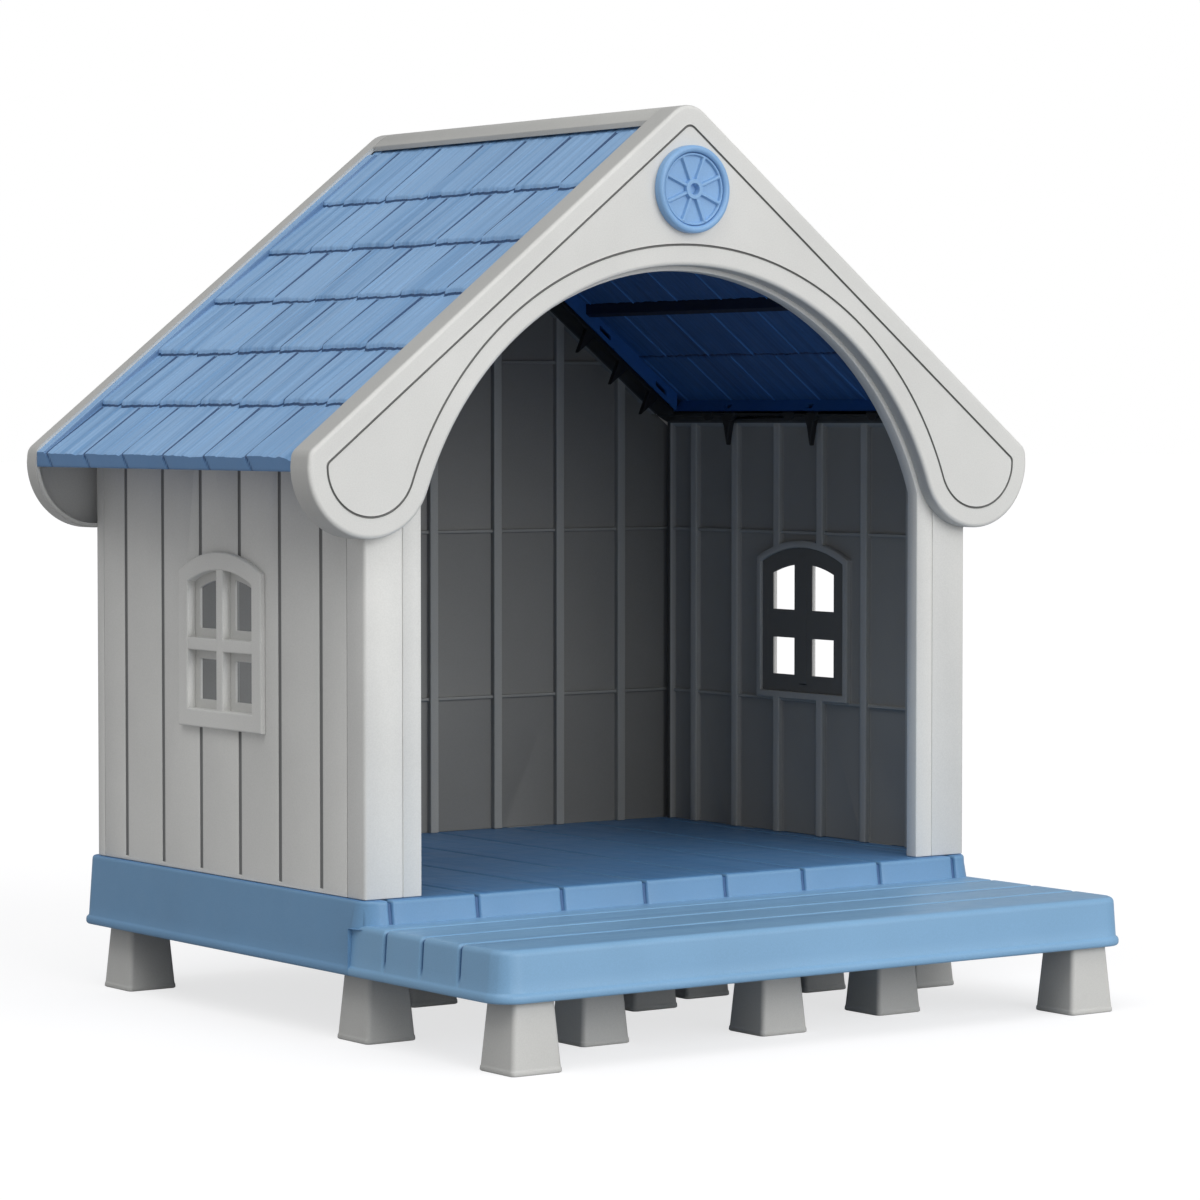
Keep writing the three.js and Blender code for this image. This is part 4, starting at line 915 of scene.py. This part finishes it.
ornament()


# ------------------------------
# Roof panels. Each slope is one sky blue moulding: six courses of split shingles with ragged
# feet on top, the backs of the shingles underneath, and flanges that stand on the wall ledges.
# ------------------------------

course_start = 0.0295
eave_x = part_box("roof_panel_right")[1].x
course_width = (eave_x - course_start) / 6
panel_front, panel_rear = (corner.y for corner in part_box("roof_panel_left"))


def knots(y, rng, spacing, amount):
    """A random profile across the grain: random heights at even spacing, joined by a smooth curve."""
    count = int((panel_rear - panel_front + 0.06) / spacing) + 4
    place = (y - panel_front + 0.03) / spacing
    value = rng.uniform(-amount, amount, count)
    low = np.floor(place).astype(int)
    t = smooth_step(place - low, 0, 1)
    return value[low] * (1 - t) + value[low + 1] * t


def nearest(y, places):
    """The place that lies nearest to each y."""
    return places[np.abs(y[:, None] - places[None, :]).argmin(axis=1)]


def finer_near(places, reach):
    """Places along the ridge 1.5 mm apart, and 0.4 mm apart within a reach of each joint."""
    length = panel_rear - panel_front
    broad = np.linspace(panel_front, panel_rear, int(length / 0.0015) + 1)
    fine = panel_front + 0.0004 * np.arange(1, int(length / 0.0004))
    near = np.abs(broad - nearest(broad, places)) < reach + 0.0003
    near[[0, -1]] = False
    strip = panel_rear - np.array([0.0129, 0.0126, 0.0123])
    kept = fine[np.abs(fine - nearest(fine, places)) < reach]
    return np.unique(np.round(np.concatenate([broad[~near], kept, strip]), 6))


def shingle_sheet(side):
    """Loops over the panel's section, one for each place along the ridge. On top, six courses
    rise to ragged feet, with sunk joints half a shingle apart from course to course, a tilt and
    a grain of their own for each shingle; then the eave's face, and the same relief below."""
    rng = np.random.default_rng(21 if side < 0 else 22)
    first_depth, low_depth, foot_depth, least_depth = 0.0052, 0.0070, 0.0036, 0.0030
    ridge_x, shingle_wide, odd_lead, even_lead, last_course = 0.0065, 0.0696, 0.0745, 0.0410, 5
    joints = []
    for course in range(6):
        lead = odd_lead if course % 2 else even_lead
        places = panel_front + lead + shingle_wide * np.arange(7) + rng.uniform(-0.0010, 0.0010, 7)
        joints.append(places[places < panel_rear - (0.018 if course < last_course else 0.006)])
    y = finer_near(np.concatenate(joints), 0.0031)
    plain = smooth_step(y, panel_rear - 0.0128, panel_rear - 0.0124)
    plain_wall = np.exp(-((y - panel_rear + 0.0126) / 0.0006) ** 2)
    keep_front = 1 - 0.45 * (1 - smooth_step(y, panel_front + 0.004, panel_front + 0.015))
    xs, depths, tones, seams = [], [], [], []

    def row(x, depth, tone, seam):
        """One line of the top: its place, depth, tone and joint shade, and the plain strip at its
        rear end in place of the shingles. The tone also carries painted highlights, and the joint shade is
        painted shade."""
        xs.append(x + 0 * y)
        depths.append(depth * (1 - plain) + np.where(x < course_start, 0.0052, 0.0024) * plain)
        tones.append(tone * (1 - plain) + 0.35 * plain)
        # The plain strip's front wall gets painted shade.
        seams.append(np.maximum(seam * (1 - plain), 0.62 * plain_wall))

    begin = course_start - 0.0033
    # Below the ridge cap: a darker tone and joint shade, painted shade of the cap.
    row(ridge_x, first_depth + 0.0008, -0.5, 0.35)
    row(begin - 0.0002, first_depth + 0.0008, -0.5, 0.35)
    strips = []
    for course in range(6):
        start_depth = low_depth if course else first_depth
        end = course_start + (course + 1) * course_width
        places = joints[course]
        number = np.searchsorted(places, y)
        count = len(places) + 1
        past = y - nearest(y, places)
        starts = np.concatenate([[panel_front - 0.03], places])[number]
        ends = np.concatenate([places, [panel_rear + 0.03]])[number]
        # Each shingle's own random tone, plus a painted highlight near its rear end.
        tone = rng.uniform(-1, 1, count)[number] + 0.9 * np.exp(-((ends - y - 0.0019) / 0.0008) ** 2)
        rock = rng.uniform(-0.0003, 0.0005, count)[number]
        ragged = rng.uniform(-0.0012, 0.0008, count)[number]
        ragged = ragged + knots(y, rng, 0.0050, 0.0006) + knots(y, rng, 0.0019, 0.0003)
        turn = np.clip(1 - (y - starts) / 0.0095, 0, 1)
        ragged = ragged - 0.0085 * (1 - np.sqrt(1 - turn ** 2)) + 0.0012 * np.exp(-((ends - y) / 0.006))
        if course == last_course:
            ragged = np.minimum(ragged, 0.0) * 0.30 - 0.0004
        lip = end + ragged * (1 - plain)
        grain_a = knots(y, rng, 0.0056, 0.00042) + knots(y, rng, 0.0027, 0.00020)
        grain_b = knots(y, rng, 0.0056, 0.00042) + knots(y, rng, 0.0027, 0.00020)
        strips.append((places, grain_a, grain_b))
        lean = 0.0014 * (y - (starts + ends) / 2) / 0.070
        climb = (start_depth - foot_depth) * keep_front + rock + lean
        for t in (0.012, 0.04, 0.09, 0.20, 0.34, 0.50, 0.66, 0.80, 0.91, 0.965):
            wide = 0.0008 * math.exp(-t / 0.05)
            sunk = 0.0018 * np.exp(-(past / (0.0015 + wide)) ** 4)
            # groove is painted shade in the seams between shingles.
            groove = np.exp(-((past - 0.0007) / (0.0022 + wide)) ** 4)
            sheet = start_depth - climb * t + grain_a * (1 - t) + grain_b * t + sunk
            row(begin + (lip - 0.0016 - begin) * t, np.maximum(sheet, least_depth), tone, groove)
        foot_line = np.maximum(start_depth - climb + grain_b + sunk, least_depth)
        row(lip - 0.0011, foot_line, tone, groove)
        if course == last_course:
            # The eave course's lip: painted highlight.
            row(lip - 0.0005, foot_line + 0.0001, tone + 0.8, groove)
            row(lip - 0.0001, foot_line + 0.0004, tone + 0.8, groove)
            continue
        drop = np.maximum(low_depth + 0.0003 - foot_line, 0.0002)
        # The step to the next course: painted highlight on the lip, then a painted shadow below it.
        for ahead, share, light, shade in (
                (-0.0003, 0.04, 1.0, 0.0), (0.0, 0.20, 1.2, 0.0), (0.0001, 0.60, 0.8, 0.0),
                (0.00015, 0.68, 0.0, 1.0), (0.0002, 1.0, 0.0, 1.0), (0.0005, 1.0, 0.0, 1.0),
                (0.0008, 1.0, 0.0, 0.3)):
            row(lip + ahead, foot_line + share * drop, tone + light, np.maximum(shade, groove))
        begin = lip + 0.0010
    x = np.stack(xs)
    top = points_at(side * x, y, roof_z(x, np.stack(depths)))

    # The eave's face falls straight down, its joints slanting towards the front as they fall.
    # eave_dark paints shade on the face, darker in the joints.
    foot_z = roof_z(eave_x, 0.0043) - 0.011
    lip_z = top[-1, :, 2]
    eave, eave_dark = [], []
    for share in (0.02, 0.10, 0.30, 0.55, 0.80, 0.93, 1.0):
        cut = np.exp(-((y - nearest(y, joints[last_course] - 0.011 * share)) / 0.0010) ** 2)
        face_x = eave_x - 0.0014 * cut - (0.0006 if share == 1.0 else 0.0)
        eave.append(points_at(side * face_x, y, lip_z + (foot_z - lip_z) * share))
        eave_dark.append(0.46 + 0.54 * cut)

    # Underside: the eave's root, then the courses from the lowest to the highest. Its tone paints
    # highlights on the seam ridges and shade along the course steps.
    root = eave_x - 0.003
    inner_root = root - 0.0038
    roots = [points_at(side * root, y, foot_z), points_at(side * inner_root, y, roof_z(inner_root, 0.0112))]
    under_x, under_depth, under_tone = [], [], []
    for course in range(last_course, -1, -1):
        places, grain_a, grain_b = strips[course]
        ridge = np.exp(-((y - nearest(y, places)) / 0.0011) ** 2)
        edge = knots(y, rng, 0.006, 0.0007)
        x0 = course_start + course * course_width - 0.010
        x1 = root - 0.0050 if course == last_course else x0 + course_width
        for t in (0.997, 0.983, 0.975, 0.85, 0.65, 0.45, 0.25, 0.10, 0.003):
            relief = (grain_a * (1 - t) + grain_b * t) * 0.9
            under_x.append(x0 + (x1 - x0) * t + edge * ((t > 0.97) or (t < 0.01)))
            under_depth.append(0.0121 - 0.0010 * t + relief + 0.0010 * ridge)
            under_tone.append(2.2 * ridge - (1.6 if t > 0.98 else 0.0))
    under_x.append(ridge_x + 0 * y)
    under_depth.append(0.0118 + 0 * y)
    under_tone.append(0 * y)
    x = np.stack(under_x)
    under = points_at(side * x, y, roof_z(x, np.stack(under_depth)))
    loops = np.concatenate([top, np.stack(eave), np.stack(roots), under]).transpose(1, 0, 2)
    tone = np.stack(tones + [-8.0 + 0 * y] * len(eave) + [0 * y] * 2 + under_tone)
    dark = np.stack(seams + eave_dark + [0 * y] * (2 + len(under_x)))
    below = np.zeros_like(dark)
    below[len(xs) + len(eave):] = 1.0
    label = "left" if side < 0 else "right"
    piece = made("roof_shingles_" + label, [loops_shell(loops)], "roof_panel_" + label, "roof",
                 shingle_blue, 60)
    shaded(piece, shingle_tone=tone.T, joint_shade=dark.T, underside=below.T)


shingle_finish = plastic("shingle_blue", "84AEDA", 0.46, cloud=0.04)
shingle_blue, tree, surface, _ = shingle_finish
tone = point_value(tree, "shingle_tone")
wood = streaked(shingle_finish, 0, 1, 0.00016, math_node(tree, "GREATER_THAN", tone, -4.0))
level = math_node(tree, "ADD", wood, math_node(tree, "MULTIPLY", tone, 0.16))
# The top: two blues by grain and shingle tone; the tone also holds painted highlights and shade.
top_colour = blended(tree, level, linear("719ECD"), linear("91B9E3"))
# Painted shade toward dark navy where joint_shade is high: seams, below the feet and the ridge cap, the
# strip's wall and the eave's face.
gap_mask = ranged(tree, point_value(tree, "joint_shade"), 0.15, 0.85, 0.0, 0.94)
top_colour = blended(tree, gap_mask, top_colour, linear("1E4472"))
# The underside is painted dark navy as shade under the roof, lighter on the seam ridges as painted highlight.
level = math_node(
    tree, "ADD", math_node(tree, "MULTIPLY", wood, 0.35), math_node(tree, "MULTIPLY", tone, 0.30))
under_colour = blended(tree, ranged(tree, level, -0.35, 0.9, 0.0, 1.0), linear("0A2350"), linear("4E8AD2"))
colour = blended(tree, point_value(tree, "underside"), top_colour, under_colour)
tree.links.new(colour, surface.inputs["Colour"])
shingle_sheet(-1)
shingle_sheet(1)

# Flanges in a darker blue and the rib near black: painted shade under the roof.
flange_shaded_blue = plastic("flange_shaded_blue", "2F68B2", 0.5)[0]
rib_shaded_blue = plastic("rib_shaded_blue", "101F38", 0.5)[0]


def slotted_plate(place, s0, s1, h0, h1, slots=()):
    """A plate over s and h, with both its faces given by place(s, h, 0 or 1): a ring of surface
    round each slot (s and h of its middle, half length, half height), and plain stretches between
    the rings. A ring runs from a box to the slot, whose round ends come from a clipped ellipse."""
    shells, cursor = [], s0
    angle = np.linspace(0, 2 * np.pi, 32, endpoint=False) + np.pi / 32
    reach = 1 / np.maximum(np.abs(np.cos(angle)), np.abs(np.sin(angle)))
    for middle, level, half_long, half_high in slots:
        cell = (middle - half_long - 0.004, middle + half_long + 0.004)
        shells.append(plain_plate(place, cursor, cell[0], h0, h1))
        box = (middle + (cell[1] - cell[0]) / 2 * reach * np.cos(angle),
               (h0 + h1) / 2 + (h1 - h0) / 2 * reach * np.sin(angle))
        hole = (middle + np.clip(1.25 * half_long * np.cos(angle), -half_long, half_long),
                level + np.clip(1.35 * half_high * np.sin(angle), -half_high, half_high))
        ring = [place(*box, 0), place(*hole, 0), place(*hole, 1), place(*box, 1)]
        shells.append(loops_shell(np.stack(ring), joined=True))
        cursor = cell[1]
    shells.append(plain_plate(place, cursor, s1, h0, h1))
    return shells


def plain_plate(place, s0, s1, h0, h1):
    """A stretch of plate between two places and two depths."""
    s, h = np.array([s0, s1, s1, s0]), np.array([h0, h0, h1, h1])
    return loops_shell(np.stack([place(s, h, 0), place(s, h, 1)]))


def roof_flanges(side):
    """Plates square to the slope: along both ends, the ridge and the wall, with a rib between."""
    thick, under, deep, ridge_x, slot_level, ledge_top = 0.0035, 0.0105, 0.0248, 0.006, 0.0186, 0.0145
    front_y, rear_y = post_front + 0.0215, rear_face - 0.042
    foot_z = roof_z(wall_face, 0.0111) + 0.0003
    foot_x = (roof_z(0, deep) - foot_z) / slope
    label = "left" if side < 0 else "right"
    node = "roof_panel_" + label

    def across(y):
        """The faces of a plate that runs down the slope at a place along the ridge."""
        return lambda s, h, face: points_at(side * s, y + face * thick, roof_z(s, h))

    def along(x, wide):
        """The faces of a plate that runs along the ridge at a distance from the middle."""
        return lambda s, h, face: points_at(side * (x + face * wide), s, roof_z(x + face * wide, h))

    def wall_plate(s, h, face):
        """The faces of the plate at the wall, cut level where it stands on the ledge."""
        x = foot_x + (ledge_top - h) * math.sin(pitch) + face * thick * math.cos(pitch)
        z = foot_z + (ledge_top - h) * math.cos(pitch) - face * thick * math.sin(pitch)
        return points_at(side * x, s, np.maximum(z, foot_z))

    slots = [(wall_face - inward, slot_level, 0.0068, 0.0021) for inward in (0.109, 0.041)]
    notches = [(post_front + y, 0.0085, 0.0052, 0.0028) for y in (0.2040, 0.3320)]
    shells = slotted_plate(across(rear_y), ridge_x, foot_x + 0.001, under, deep, slots)
    shells += slotted_plate(across(front_y), ridge_x, foot_x + 0.001, under, deep)
    shells += slotted_plate(along(ridge_x, thick), front_y, rear_y + thick, under, deep)
    shells += slotted_plate(wall_plate, front_y, rear_y + thick, -0.0005, 0.0144, notches)
    rib_x = course_start + 3 * course_width - 0.011
    rib = slotted_plate(along(rib_x, -0.004), front_y + thick, rear_y, under, 0.0188)
    made("roof_rib_" + label, rib, node, "roof", rib_shaded_blue, 30)
    made("roof_flanges_" + label, shells, node, "roof", flange_shaded_blue, 30)


roof_flanges(-1)
roof_flanges(1)


# ------------------------------
# Ridge cap. A pale grey angled strip with a rounded crest that covers the upper edges of both
# panels between the gable boards.
# ------------------------------

# Darker than the gable grey: painted shade on the cap.
ridge_shaded_grey = plastic("ridge_shaded_grey", "B9B9B6", 0.46)[0]
moulded_copy("ridge_cap", 0.0008, ridge_shaded_grey, "roof")
